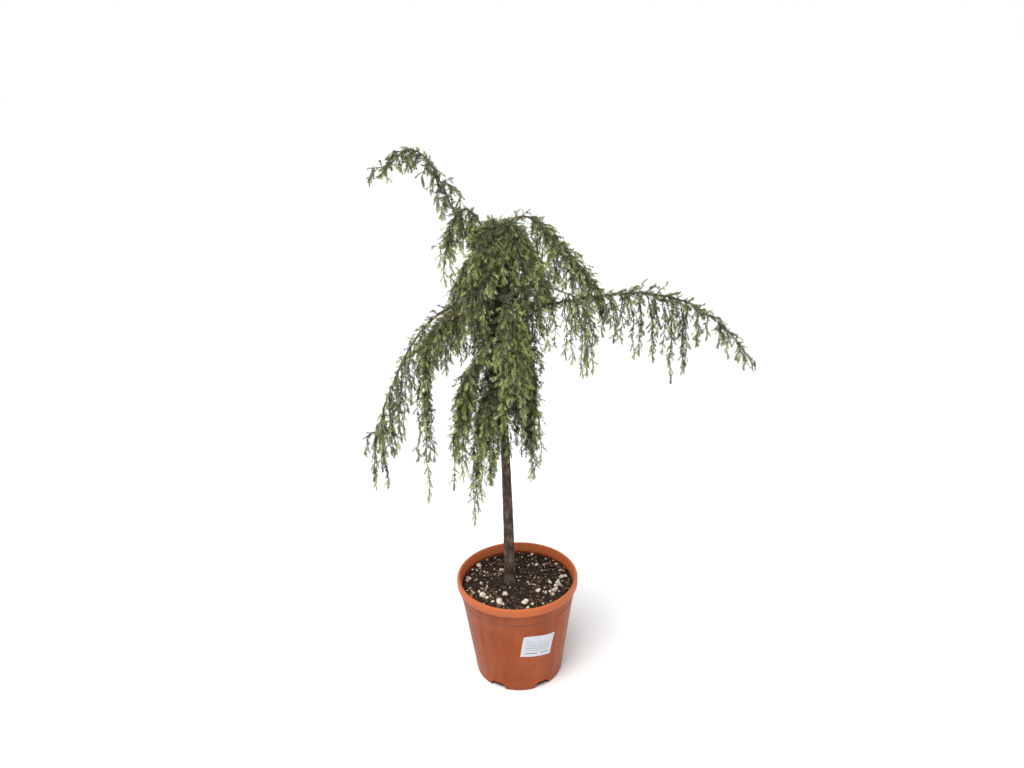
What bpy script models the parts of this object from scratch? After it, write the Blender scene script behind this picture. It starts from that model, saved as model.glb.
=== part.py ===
"""A weeping common juniper grown as a small standard in a ribbed plastic nursery pot.

Metres, with +Z up. The origin is the centre of the pot's flat underside. The side that faces the
viewer in the photograph is -Y, and the longest arm of the crown reaches out along +X.
"""

import math
import random

import bmesh
import bpy
import numpy as np

# Pot
POT_HEIGHT = 0.224
RIM_RADIUS = 0.125
RIM_INNER_RADIUS = 0.1185
RIM_BAND = 0.018
COLLAR_RADIUS = 0.1172
COLLAR_BOTTOM = 0.182
BODY_TOP_RADIUS = 0.1165
BASE_RADIUS = 0.0905
WALL = 0.0045
FLOOR = 0.0033
PANEL_DEPTH = 0.0018
PANEL_BOTTOM = 0.017
PANELS = 3
PANEL_TURN = 360.0 / PANELS
PANEL_HALF_ANGLE = 43.0
PANEL_SIDES = (-60.0, -52.0, -44.5, -42.5, -28.0, -14.0, 0.0, 14.0, 28.0, 42.5, 44.5, 52.0)
PANEL_STEP_UP = 0.0015
PANEL_STEP_DOWN = 0.0010
FOOT_ROUNDING = 0.0014
RIM_UNDERSIDE = 0.0006
RIM_ROUNDING = 0.0045
RIM_FLAT = 0.0034
RIM_INNER_DROP = 0.0060
INSIDE_TAPER = 0.0052
FEET = 6
NOTCH_HALF_ANGLE = 10.5
NOTCH_HEIGHT = 0.0145
NOTCH_RADII = (0.072, 0.110)
FRONT = -90.0

# One side of a notch's outline, as a share of its half angle and a height, from its foot to its top
NOTCH_SIDE = ((1.0, -0.003), (0.98, 0.004), (0.86, 0.0105), (0.62, NOTCH_HEIGHT))

# Growing mix, filled to a little under the rim
SOIL_LEVEL = 0.205
SOIL_EDGE_DROP = 0.0025
SOIL_UNEVENNESS = 0.0018
SOIL_RING = 0.070
FIT = 0.0004

# Plain paper label, stuck on a little askew, right of the front
LABEL_ANGLE = 21.3
LABEL_MIDDLE = 0.1185
LABEL_WIDTH = 0.0695
LABEL_HEIGHT = 0.054
LABEL_TILT = 8.5
LABEL_THICKNESS = 0.0004
LABEL_STEPS = 6

# Trunk
TRUNK_FOOT = SOIL_LEVEL + FIT
TRUNK_TOP = 0.946
TRUNK_FOOT_X = -0.0155
TRUNK_LEAN = 0.005
TRUNK_SWAY = 0.0012
TRUNK_FOOT_RADIUS = 0.0115
TRUNK_TOP_RADIUS = 0.0042
FLARE = 0.0014
FLARE_HEIGHT = 0.020
TRUNK_SIDES = 10
TRUNK_RINGS = 12
TRUNK_RING_CROWDING = 1.5

# Boughs and stems
GAP = 0.0003
BOUGH_SIDES = 6
BOUGH_RINGS = 5
BOUGH_FOOT_RADIUS = 0.0031
BOUGH_TIP_RADIUS = 0.0019
STEM_RADIUS = 0.0018
STEM_TIP_RADIUS = 0.0009
STEM_STEP = 0.022

# Jagged core in the dense middle of a mass
CORE_SIDES = 6
CORE_SPAN = (0.16, 0.95)
CORE_STEP = 0.034
CORE_TWIST = 25.0
CORE_JAG = (0.75, 1.15)
CORE_FULLNESS = 0.6
LEAST_CORE = 0.006
CORE_SHRINK = 0.002

# Twigs and sprays of needles
TWIG_RADIUS = 0.0013
TWIG_TIP_RADIUS = 0.0008
TWIG_SHARE = 0.36
TWIG_OVERLAP = 0.06
TWIG_STEP = 0.026
LONG_BRANCH = 0.10
SPRAY_HALF_WIDTH = 0.0017
SPRAY_HALF_THICKNESS = 0.0012
TOOTH_REACH = 0.0130
TOOTH_STEP = 0.036
TOOTH_LEAN = (0.84, 0.20)
TOOTH_OUT = (0.86, 0.24)
TWIST = 44.0
SIDE_FALL = 0.062
SIDE_REACH = 0.020
SIDE_TURN = (40.0, 85.0)
SIDE_ROLL = 50.0

# Shape of a hanging branch: how high it arches for its reach, and how soon it turns down
ARCH = 0.7
OUT_POWER = 2.2
FALL_POWER = 1.5
FALL_SPREAD = (0.72, 1.08)
LEAST_FALL = 0.028
TIP_DROOP = 0.35
LEAST_TIP_REACH = 0.012
LEAST_TIP_FALL = 0.045

# Room that branches keep from each other
CLEARANCE = 0.0026
OWN_CLEARANCE = 0.0006
ROOT_ROOM = 0.016
BRANCH_ROOM = 0.0015
SPRAY_ROOM = 0.0012
ROOM_STEP = 0.004
ROOM_SPLITS = 5
LEAST_KEPT = 0.6
PLACE_SPREAD = 0.7
TRIES = 5

# Each limb leaves the trunk at a height, on a bearing (0 is +X, 90 is +Y), and follows one curve.
# The curve is given by three (out, up) controls from that point, and the last is its end.
# The bough is the share of the curve that carries no foliage; 0 means the stem meets the trunk.
LIMBS = {
    "leader": (0.885, 180.0, (0.098, 0.045), (0.083, 0.294), (0.192, 0.156), 0.34),
    "upper_right": (0.930, 4.0, (0.048, 0.096), (0.115, -0.031), (0.180, -0.110), 0.24),
    "right_long": (0.800, 0.0, (0.158, -0.010), (0.318, 0.104), (0.464, -0.118), 0.34),
    "left_long": (0.775, 178.0, (0.087, 0.088), (0.178, -0.030), (0.238, -0.225), 0.46),
    "left_front": (0.760, 191.0, (0.070, 0.060), (0.142, 0.060), (0.136, -0.150), 0.50),
    "back_left": (0.840, 116.0, (0.070, 0.070), (0.160, 0.040), (0.185, -0.100), 0.42),
    "back_right": (0.860, 60.0, (0.070, 0.060), (0.150, 0.030), (0.180, -0.100), 0.42),
    "front": (0.815, -78.0, (0.050, 0.050), (0.105, 0.030), (0.118, -0.100), 0.42),
    "shoulder": (0.900, 200.0, (0.043, 0.106), (0.062, 0.115), (0.090, 0.012), 0.0),
    "right_inner": (0.835, -13.0, (0.050, 0.015), (0.105, 0.010), (0.150, -0.020), 0.0),
    "left_inner": (0.742, 158.0, (0.050, 0.050), (0.110, 0.060), (0.140, -0.030), 0.0),
    "crown_front_left": (0.930, 246.0, (0.030, 0.050), (0.068, 0.010), (0.072, -0.210), 0.0),
    "crown_front_right": (0.932, -44.0, (0.030, 0.055), (0.064, 0.015), (0.068, -0.210), 0.0),
    "crown_back": (0.925, 92.0, (0.030, 0.050), (0.072, 0.010), (0.076, -0.210), 0.0),
    "curtain_left": (0.690, 190.0, (0.030, 0.030), (0.068, 0.010), (0.072, -0.110), 0.0),
    "curtain_right": (0.740, -20.0, (0.034, 0.030), (0.060, -0.010), (0.046, -0.170), 0.0),
    "curtain_back": (0.690, 92.0, (0.030, 0.030), (0.070, 0.010), (0.074, -0.120), 0.0),
    "curtain_front": (0.640, 241.0, (0.025, 0.025), (0.062, 0.010), (0.066, -0.090), 0.0),
}

# How each mass hangs: number of side branches, where along its stem they begin, the least and
# greatest turn of a branch from its limb's bearing, how far out they reach, how far they fall at
# even steps from the start of the stem to its end, and the radius of the core in the dense middle.
MASSES = {
    "leader": (15, 0.02, (25, 165), (0.018, 0.042), (0.030, 0.040, 0.034, 0.026), 0.0),
    "right_long": (20, 0.01, (15, 85), (0.010, 0.028),
                   (0.070, 0.105, 0.155, 0.178, 0.062, 0.060, 0.030), 0.0),
    "left_long": (19, 0.02, (10, 95), (0.008, 0.022), (0.060, 0.160, 0.150), 0.0),
    "left_front": (16, 0.02, (15, 100), (0.010, 0.024), (0.070, 0.130, 0.215), 0.0),
    "upper_right": (18, 0.02, (15, 95), (0.014, 0.034), (0.080, 0.110, 0.060), 0.0),
    "right_inner": (8, 0.76, (10, 80), (0.010, 0.022), (0.110, 0.140, 0.160), 0.0),
    "shoulder": (16, 0.12, (10, 100), (0.009, 0.024), (0.045, 0.086, 0.080), 0.0),
    "left_inner": (11, 0.38, (10, 90), (0.014, 0.030), (0.080, 0.110, 0.100), 0.0),
    "curtain_front": (19, 0.22, (10, 95), (0.014, 0.034), (0.138, 0.172, 0.198), 0.010),
    "curtain_left": (15, 0.35, (15, 85), (0.012, 0.026), (0.120, 0.165, 0.198), 0.012),
    "curtain_right": (18, 0.22, (10, 95), (0.010, 0.024), (0.100, 0.145, 0.158), 0.010),
    "curtain_back": (7, 0.35, (15, 90), (0.018, 0.040), (0.090, 0.110, 0.130), 0.012),
    "front": (10, 0.05, (15, 95), (0.016, 0.032), (0.110, 0.170, 0.160), 0.0),
    "crown_front_left": (13, 0.04, (15, 95), (0.022, 0.040), (0.060, 0.080, 0.090), 0.020),
    "crown_front_right": (13, 0.04, (15, 95), (0.022, 0.040), (0.060, 0.080, 0.090), 0.020),
    "crown_back": (12, 0.04, (15, 95), (0.026, 0.050), (0.060, 0.080, 0.090), 0.022),
    "back_left": (8, 0.05, (15, 95), (0.018, 0.038), (0.110, 0.170, 0.140), 0.0),
    "back_right": (8, 0.05, (15, 95), (0.018, 0.038), (0.100, 0.140, 0.105), 0.0),
}
SEED = 41

BARK_COLOUR = (0.16, 0.12, 0.09)
FOLIAGE_COLOUR = (0.13, 0.15, 0.07)
POT_COLOUR = (0.40, 0.085, 0.027)
SOIL_COLOUR = (0.035, 0.024, 0.017)
LABEL_COLOUR = (0.70, 0.70, 0.73)


def trunk_centre(height):
    rise = (height - TRUNK_FOOT) / (TRUNK_TOP - TRUNK_FOOT)
    x = TRUNK_FOOT_X - TRUNK_LEAN * rise + TRUNK_SWAY * math.sin(7.0 * rise)
    return np.array([x, TRUNK_SWAY * math.sin(5.0 * rise + 1.0), height])


def trunk_radius(height):
    rise = (height - TRUNK_FOOT) / (TRUNK_TOP - TRUNK_FOOT)
    taper = TRUNK_FOOT_RADIUS + (TRUNK_TOP_RADIUS - TRUNK_FOOT_RADIUS) * rise
    return taper + FLARE * math.exp(-(height - TRUNK_FOOT) / FLARE_HEIGHT)


def heading(bearing):
    angle = math.radians(bearing)
    return np.array([math.cos(angle), math.sin(angle), 0.0])


def limb_point(name, t):
    """The point at share t of the limb's curve, which begins at the trunk's bark."""
    height, bearing, first, second, third, _ = LIMBS[name]
    a = 3.0 * (1.0 - t) ** 2 * t
    b = 3.0 * (1.0 - t) * t ** 2
    c = t ** 3
    out = a * first[0] + b * second[0] + c * third[0]
    up = a * first[1] + b * second[1] + c * third[1]
    start = trunk_centre(height) + heading(bearing) * (trunk_radius(height) + FIT)
    return start + heading(bearing) * out + np.array([0.0, 0.0, up])


def limb_curve(name, start, end, count):
    return np.array([limb_point(name, t) for t in np.linspace(start, end, count)])


def limb_direction(name, t):
    step = limb_point(name, min(1.0, t + 0.001)) - limb_point(name, t - 0.001)
    return step / np.linalg.norm(step)


def lengths_along(points):
    return np.concatenate([[0.0], np.cumsum(np.linalg.norm(np.diff(points, axis=0), axis=1))])


def curve_length(points):
    return float(lengths_along(points)[-1])


def tangents(points):
    """Unit directions along a row of points."""
    steps = np.gradient(points, axis=0)
    return steps / np.linalg.norm(steps, axis=1)[:, None]


def between(values, share):
    """A value between values at even steps from 0 to 1: a curve through three, lines through more."""
    if len(values) > 3:
        return float(np.interp(share, np.linspace(0.0, 1.0, len(values)), values))
    first, middle, last = values
    return (
        first * (share - 0.5) * (share - 1.0) / 0.5
        + middle * share * (share - 1.0) / -0.25
        + last * share * (share - 0.5) / 0.5
    )


def weeping_curve(start, bearing, reach, fall, count=25):
    """A branch that leaves its stem outward and bends over until it hangs."""
    t = np.linspace(0.0, 1.0, count)
    out = reach * (1.0 - (1.0 - t) ** OUT_POWER)
    up = ARCH * reach * t * (1.0 - t) - fall * t ** FALL_POWER
    return start + out[:, None] * heading(bearing) + up[:, None] * np.array([0.0, 0.0, 1.0])


def points_at(points, wanted):
    """Points at given lengths along a curve."""
    lengths = lengths_along(points)
    return np.stack([np.interp(wanted, lengths, points[:, k]) for k in range(3)], axis=1)


def resampled(points, step):
    """Points at even steps along a curve, with both ends kept."""
    whole = curve_length(points)
    count = max(2, int(round(whole / step)) + 1)
    return points_at(points, np.linspace(0.0, whole, count))


def part_of(points, start, end, count=25):
    """The piece of a curve between two shares of its length."""
    whole = curve_length(points)
    return points_at(points, np.linspace(start * whole, end * whole, count))


def side_frames(points, bearing, roll, twist, along=None):
    """Two directions across a curve at each point, turned by roll and further by twist a point."""
    along = tangents(points) if along is None else along
    level = np.cross(heading(bearing), np.array([0.0, 0.0, 1.0]))
    across = np.tile(level, (len(points), 1))
    across -= along * (across * along).sum(axis=1)[:, None]
    across /= np.linalg.norm(across, axis=1)[:, None]
    normal = np.cross(across, along)
    angles = np.radians(roll + twist * np.arange(len(points)))[:, None]
    side = across * np.cos(angles) + normal * np.sin(angles)
    return side, np.cross(side, along)


class Space:
    """The room already taken, as balls, each with the name of the limb or mass that it belongs to."""

    def __init__(self):
        self.points = np.zeros((0, 3))
        self.radii = np.zeros(0)
        self.owners = np.zeros(0, dtype=object)

    def take(self, owner, points, radii):
        self.points = np.concatenate([self.points, points])
        self.radii = np.concatenate([self.radii, np.broadcast_to(radii, len(points))])
        self.owners = np.concatenate([self.owners, np.full(len(points), owner, dtype=object)])

    def free(self, owner, points, radius, root):
        """For each point, whether a ball there is clear of other owners, and past its root of its own."""
        apart = np.linalg.norm(points[:, None, :] - self.points[None, :, :], axis=2)
        own = self.owners == owner
        own_core = self.owners == owner + " core"
        reach = self.radii + radius + np.where(own, OWN_CLEARANCE, CLEARANCE)
        near_root = np.linalg.norm(points - root, axis=1) < ROOT_ROOM
        clear = apart > reach[None, :]
        clear |= own[None, :] & near_root[:, None]
        clear |= own_core[None, :]
        return clear.all(axis=1)


def teeth_of(points, side, reach):
    """Tooth tips for each step of a spray, which lean forward and get shorter towards its end."""
    left = []
    right = []
    steps = len(points) - 1
    for i in range(steps):
        share = (i + 0.5) / steps
        size = reach * (1.0 - 0.5 * share ** 2)
        step = points[i + 1] - points[i]
        across = side[i] + side[i + 1]
        across = across / np.linalg.norm(across)
        longer = 1.0 if i % 2 else -1.0
        lean, lean_change = TOOTH_LEAN
        out, out_change = TOOTH_OUT
        left_out = across * size * (out + out_change * longer)
        right_out = across * size * (out - out_change * longer)
        left.append(points[i] + step * (lean + lean_change * longer) + left_out)
        right.append(points[i] + step * (lean - lean_change * longer) - right_out)
    return np.array(left), np.array(right)


def balls_of(points, left, right):
    """Points spread over the core and teeth of a spray, which stand for it when its room is tested."""
    found = [points]
    splits = ROOM_SPLITS
    shares = [(a / splits, b / splits) for a in range(splits + 1) for b in range(splits + 1 - a)]
    for start, end in shares:
        for tips in (left, right):
            found.append(points[:-1] * start + points[1:] * end + tips * (1.0 - start - end))
    return np.concatenate(found)


def free_length(space, owner, points, radius):
    """How many points of a curve come before the first one that isn't clear."""
    clear = space.free(owner, points, radius, points[0])
    return len(points) if clear.all() else int(np.argmin(clear))


def plan_spray(space, owner, curve, bearing, roll):
    """A spray cut off where it would leave its mass's room, or None if too little is left."""
    points = resampled(curve, TOOTH_STEP)
    side, _ = side_frames(points, bearing, roll, TWIST)
    left, right = teeth_of(points, side, TOOTH_REACH)
    good = 0
    for i in range(len(points) - 1):
        group = balls_of(points[i:i + 2], left[i:i + 1], right[i:i + 1])
        if not space.free(owner, group, SPRAY_ROOM, points[0]).all():
            break
        good = i + 1
    if good < 2:
        return None
    points = points[:good + 1]
    space.take(owner, balls_of(points, left[:good], right[:good]), SPRAY_ROOM)
    return points, bearing, roll


def plan_branch(space, name, rng, s, hand, with_side):
    """The twig and sprays of one side branch, or two empty lists where there is no room for it."""
    bearing = LIMBS[name][1]
    share = LIMBS[name][5]
    _, _, turns, reaches, falls, _ = MASSES[name]
    start = limb_point(name, share + (1.0 - share) * s)
    way = bearing + hand * rng.uniform(*turns)
    fall = max(LEAST_FALL, between(falls, s) * rng.uniform(*FALL_SPREAD))
    roll = rng.uniform(0.0, 180.0)
    side_turn = -hand * rng.uniform(*SIDE_TURN)
    curve = weeping_curve(start, way, rng.uniform(*reaches), fall)
    kept = free_length(space, name, curve, BRANCH_ROOM)
    if kept < LEAST_KEPT * len(curve):
        return [], []
    curve = curve[:kept]
    if curve_length(curve) < LONG_BRANCH:
        spray = plan_spray(space, name, curve, way, roll)
        return [], [spray] if spray else []
    twig = resampled(part_of(curve, 0.0, TWIG_SHARE), TWIG_STEP)
    end = plan_spray(space, name, part_of(curve, TWIG_SHARE - TWIG_OVERLAP, 1.0), way, roll)
    if not end:
        return [], []
    space.take(name, resampled(twig, ROOM_STEP), SPRAY_ROOM)
    sprays = [end]
    if with_side:
        side_curve = weeping_curve(twig[-2], way + side_turn, SIDE_REACH, SIDE_FALL)
        side_spray = plan_spray(space, name, side_curve, way + side_turn, roll + SIDE_ROLL)
        if side_spray:
            sprays.append(side_spray)
    return [(twig, way)], sprays


def plan_mass(space, name, seed):
    """The twigs and sprays of one mass, by the seeded rule that all masses share."""
    rng = random.Random(seed)
    bearing = LIMBS[name][1]
    count, first, _, _, falls, _ = MASSES[name]
    twigs = []
    sprays = []
    for i in range(count):
        s = first + (1.0 - first) * (i + PLACE_SPREAD * rng.random()) / count
        hand = 1 if i % 2 else -1
        for _ in range(TRIES):
            more_twigs, more_sprays = plan_branch(space, name, rng, s, hand, i % 3 == 0)
            hand = -hand
            if more_sprays:
                break
        twigs += more_twigs
        sprays += more_sprays
    tip_start = limb_point(name, 1.0) - ROOM_STEP * limb_direction(name, 1.0)
    droop = TIP_DROOP * falls[-1]
    tip_reach = max(LEAST_TIP_REACH, 0.5 * droop)
    tip = weeping_curve(tip_start, bearing, tip_reach, max(LEAST_TIP_FALL, droop))
    spray = plan_spray(space, name, tip, bearing, rng.uniform(0.0, 180.0))
    if spray:
        sprays.append(spray)
    return twigs, sprays


def core_rings(name, radius):
    """A jagged spindle round the hanging middle of a stem."""
    rng = random.Random(name)
    points = resampled(part_of(limb_curve(name, 0.0, 1.0, 60), *CORE_SPAN), CORE_STEP)
    side, normal = side_frames(points, LIMBS[name][1], 0.0, CORE_TWIST)
    rings = []
    for i, point in enumerate(points):
        share = (i + 0.5) / len(points)
        size = radius * math.sin(math.pi * share) ** CORE_FULLNESS
        ring = []
        for j in range(CORE_SIDES):
            angle = 2.0 * math.pi * j / CORE_SIDES
            out = size * rng.uniform(*CORE_JAG)
            ring.append(point + out * (side[i] * math.cos(angle) + normal[i] * math.sin(angle)))
        rings.append(ring)
    return rings


def plan_core(space, name):
    """The core of a dense mass, made slimmer until it is clear of every limb, or None."""
    radius = MASSES[name][5]
    while radius > LEAST_CORE:
        rings = core_rings(name, radius)
        hull = np.array(rings)
        between_rings = (hull[:-1] + hull[1:]) / 2.0
        balls = np.concatenate([hull.reshape(-1, 3), between_rings.reshape(-1, 3)])
        others = space.owners != name
        apart = np.linalg.norm(balls[:, None, :] - space.points[others][None, :, :], axis=2)
        if (apart > space.radii[others] + radius * 0.5 + CLEARANCE).all():
            space.take(name + " core", balls, radius * 0.5)
            return rings
        radius -= CORE_SHRINK
    return None


def plan_crown():
    """The stem, core, twigs and sprays of every mass, each kept clear of all limbs and other masses."""
    space = Space()
    heights = np.arange(TRUNK_FOOT, TRUNK_TOP, ROOM_STEP)
    line = np.array([trunk_centre(h) for h in heights])
    space.take("trunk", line, np.array([trunk_radius(h) for h in heights]))
    for name, limb in LIMBS.items():
        share = limb[5]
        if share > 0.0:
            bough = resampled(limb_curve(name, 0.0, share, 40), ROOM_STEP)
            radii = np.linspace(BOUGH_FOOT_RADIUS, BOUGH_TIP_RADIUS, len(bough))
            space.take("bough_" + name, bough, radii)
        stem = resampled(limb_curve(name, share, 1.0, 60), ROOM_STEP)
        space.take(name, stem, STEM_RADIUS)
    cores = {name: plan_core(space, name) for name in MASSES}
    crown = {}
    for k, name in enumerate(MASSES):
        twigs, sprays = plan_mass(space, name, SEED + 7 * k)
        crown[name] = (cores[name], twigs, sprays)
    return crown


def new_object(name, vertices, faces, colour, roughness=0.7):
    mesh = bpy.data.meshes.new(name)
    mesh.from_pydata([tuple(map(float, v)) for v in vertices], [], faces)
    mesh.update()
    material = bpy.data.materials.new(name)
    material.use_nodes = True
    shader = material.node_tree.nodes["Principled BSDF"]
    shader.inputs["Base Color"].default_value = (*colour, 1.0)
    shader.inputs["Roughness"].default_value = roughness
    mesh.materials.append(material)
    made = bpy.data.objects.new(name, mesh)
    bpy.context.scene.collection.objects.link(made)
    return made


def turned_out(made):
    """Makes every face point outwards."""
    bm = bmesh.new()
    bm.from_mesh(made.data)
    bmesh.ops.recalc_face_normals(bm, faces=bm.faces)
    bm.to_mesh(made.data)
    bm.free()
    return made


def skin(rings, close_start=True, close_end=True):
    """Vertices and faces of a tube through rings of equal count."""
    count = len(rings[0])
    vertices = [v for ring in rings for v in ring]
    faces = []
    for i in range(len(rings) - 1):
        low = i * count
        for j in range(count):
            k = (j + 1) % count
            faces.append((low + j, low + k, low + count + k, low + count + j))
    if close_start:
        faces.append(tuple(reversed(range(count))))
    if close_end:
        faces.append(tuple(range((len(rings) - 1) * count, len(rings) * count)))
    return vertices, faces


def tube_rings(points, bearing, radii, sides, upright_start=False, along=None):
    """Rings of a tapering tube; an upright first ring stands against the trunk."""
    side, normal = side_frames(points, bearing, 0.0, 0.0, along)
    rings = []
    for i, point in enumerate(points):
        across = side[i]
        over = normal[i]
        if i == 0 and upright_start:
            over = np.array([0.0, 0.0, 1.0]) * (1.0 if over[2] >= 0.0 else -1.0)
        ring = []
        for j in range(sides):
            angle = 2.0 * math.pi * (j + 0.25) / sides
            ring.append(point + radii[i] * (across * math.cos(angle) + over * math.sin(angle)))
        rings.append(ring)
    return rings


def make_tube(name, points, bearing, radii, sides, colour, upright_start=False, along=None):
    vertices, faces = skin(tube_rings(points, bearing, radii, sides, upright_start, along))
    return turned_out(new_object(name, vertices, faces, colour, 0.85))


def make_spray(name, points, bearing, roll):
    """A slim core of diamond section with a pair of teeth at every step, as one closed solid."""
    side, normal = side_frames(points, bearing, roll, TWIST)
    left, right = teeth_of(points, side, TOOTH_REACH)
    steps = len(points) - 1
    vertices = []
    for i, point in enumerate(points[:-1]):
        slim = 1.0 - 0.5 * i / steps
        vertices.append(point + side[i] * SPRAY_HALF_WIDTH * slim)
        vertices.append(point + normal[i] * SPRAY_HALF_THICKNESS * slim)
        vertices.append(point - side[i] * SPRAY_HALF_WIDTH * slim)
        vertices.append(point - normal[i] * SPRAY_HALF_THICKNESS * slim)
    tip = len(vertices)
    vertices.append(points[-1])
    faces = [(3, 2, 1, 0)]
    for i in range(steps):
        low = 4 * i
        high = 4 * (i + 1)
        ends = [high + j if i < steps - 1 else tip for j in range(4)]
        for at, tooth_at in ((0, left[i]), (2, right[i])):
            tooth = len(vertices)
            vertices.append(tooth_at)
            before = (at + 3) % 4
            after = (at + 1) % 4
            for ridge, turn in ((before, False), (after, True)):
                fan = [(low + ridge, low + at, tooth)]
                if i < steps - 1:
                    fan.append((low + ridge, tooth, ends[ridge]))
                    fan.append((tooth, ends[at], ends[ridge]))
                else:
                    fan.append((low + ridge, tooth, tip))
                faces.extend(tuple(reversed(face)) if turn else face for face in fan)
    return turned_out(new_object(name, vertices, faces, FOLIAGE_COLOUR, 0.8))


def keep_largest_shell(made):
    """Drops loose scraps and fills sealed hollows by keeping only the largest closed shell."""
    bm = bmesh.new()
    bm.from_mesh(made.data)
    bmesh.ops.triangulate(bm, faces=bm.faces)
    bm.faces.ensure_lookup_table()
    unseen = set(bm.faces)
    shells = []
    while unseen:
        stack = [unseen.pop()]
        shell = []
        while stack:
            face = stack.pop()
            shell.append(face)
            for edge in face.edges:
                for other in edge.link_faces:
                    if other in unseen:
                        unseen.remove(other)
                        stack.append(other)
        shells.append(shell)
    shells.sort(key=len, reverse=True)
    for shell in shells[1:]:
        bmesh.ops.delete(bm, geom=shell, context="FACES")
    loose = [v for v in bm.verts if not v.link_faces]
    bmesh.ops.delete(bm, geom=loose, context="VERTS")
    bm.to_mesh(made.data)
    bm.free()


def apply_modifiers(made):
    bpy.context.view_layer.update()
    graph = bpy.context.evaluated_depsgraph_get()
    joined = bpy.data.meshes.new_from_object(made.evaluated_get(graph))
    made.modifiers.clear()
    made.data = joined
    joined.name = made.name


def combined(made, others, operation):
    """One Boolean of a group of objects with the first, applied, with the group's objects removed."""
    group = bpy.data.collections.new(made.name + "_pieces")
    bpy.context.scene.collection.children.link(group)
    for other in others:
        bpy.context.scene.collection.objects.unlink(other)
        group.objects.link(other)
    modifier = made.modifiers.new("pieces", "BOOLEAN")
    modifier.operation = operation
    modifier.operand_type = "COLLECTION"
    modifier.collection = group
    modifier.solver = "EXACT"
    apply_modifiers(made)
    for other in others:
        bpy.data.objects.remove(other)
    bpy.data.collections.remove(group)
    keep_largest_shell(made)
    return made


def make_trunk():
    rises = np.linspace(0.0, 1.0, TRUNK_RINGS) ** TRUNK_RING_CROWDING
    heights = TRUNK_FOOT + (TRUNK_TOP - TRUNK_FOOT) * rises
    rings = []
    for height in heights:
        centre = trunk_centre(height)
        radius = trunk_radius(height)
        ring = []
        for j in range(TRUNK_SIDES):
            angle = 2.0 * math.pi * j / TRUNK_SIDES
            ring.append(centre + radius * np.array([math.cos(angle), math.sin(angle), 0.0]))
        rings.append(ring)
    vertices, faces = skin(rings)
    return turned_out(new_object("trunk", vertices, faces, BARK_COLOUR, 0.9))


def make_bough(name):
    share = LIMBS[name][5]
    points = limb_curve(name, 0.0, share, BOUGH_RINGS)
    radii = np.linspace(BOUGH_FOOT_RADIUS, BOUGH_TIP_RADIUS, BOUGH_RINGS)
    along = tangents(points)
    along[-1] = limb_direction(name, share)
    bearing = LIMBS[name][1]
    return make_tube("bough_" + name, points, bearing, radii, BOUGH_SIDES, BARK_COLOUR, True, along)


def make_mass(name, core, twigs, sprays):
    bearing = LIMBS[name][1]
    share = LIMBS[name][5]
    curve = limb_curve(name, share, 1.0, 60)
    if share > 0.0:
        curve = part_of(curve, GAP / curve_length(curve), 1.0)
    points = resampled(curve, STEM_STEP)
    radii = np.linspace(STEM_RADIUS, STEM_TIP_RADIUS, len(points))
    along = tangents(points)
    if share > 0.0:
        along[0] = limb_direction(name, share)
    from_trunk = share == 0.0
    stem = make_tube("mass_" + name, points, bearing, radii, 3, FOLIAGE_COLOUR, from_trunk, along)
    pieces = []
    if core:
        vertices, faces = skin(core)
        pieces.append(turned_out(new_object("core", vertices, faces, FOLIAGE_COLOUR)))
    for k, (twig, way) in enumerate(twigs):
        twig_radii = np.linspace(TWIG_RADIUS, TWIG_TIP_RADIUS, len(twig))
        pieces.append(make_tube(f"twig_{k}", twig, way, twig_radii, 3, BARK_COLOUR))
    for k, (spray, way, roll) in enumerate(sprays):
        pieces.append(make_spray(f"spray_{k}", spray, way, roll))
    return combined(stem, pieces, "UNION")


def pot_angles():
    found = []
    for k in range(PANELS):
        for side in PANEL_SIDES:
            found.append(FRONT + PANEL_TURN * k + side)
    return found


def in_panel(angle):
    off = (angle - FRONT + PANEL_TURN / 2.0) % PANEL_TURN - PANEL_TURN / 2.0
    return abs(off) < PANEL_HALF_ANGLE


def body_radius(height):
    return BASE_RADIUS + (BODY_TOP_RADIUS - BASE_RADIUS) * height / COLLAR_BOTTOM


def pot_ring(height, radius, recess=0.0):
    ring = []
    for angle in pot_angles():
        r = radius - (recess if in_panel(angle) else 0.0)
        ring.append((r * math.cos(math.radians(angle)), r * math.sin(math.radians(angle)), height))
    return ring


def make_notch(k):
    """A cutter for one rounded notch between two feet."""
    middle = FRONT + 360.0 / FEET * (k + 0.5)
    outline = list(NOTCH_SIDE) + [(-across, height) for across, height in reversed(NOTCH_SIDE)]
    rings = []
    for radius in NOTCH_RADII:
        ring = []
        for across, height in outline:
            angle = math.radians(middle + across * NOTCH_HALF_ANGLE)
            ring.append((radius * math.cos(angle), radius * math.sin(angle), height))
        rings.append(ring)
    vertices, faces = skin(rings)
    return turned_out(new_object(f"notch_{k}", vertices, faces, POT_COLOUR))


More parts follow.
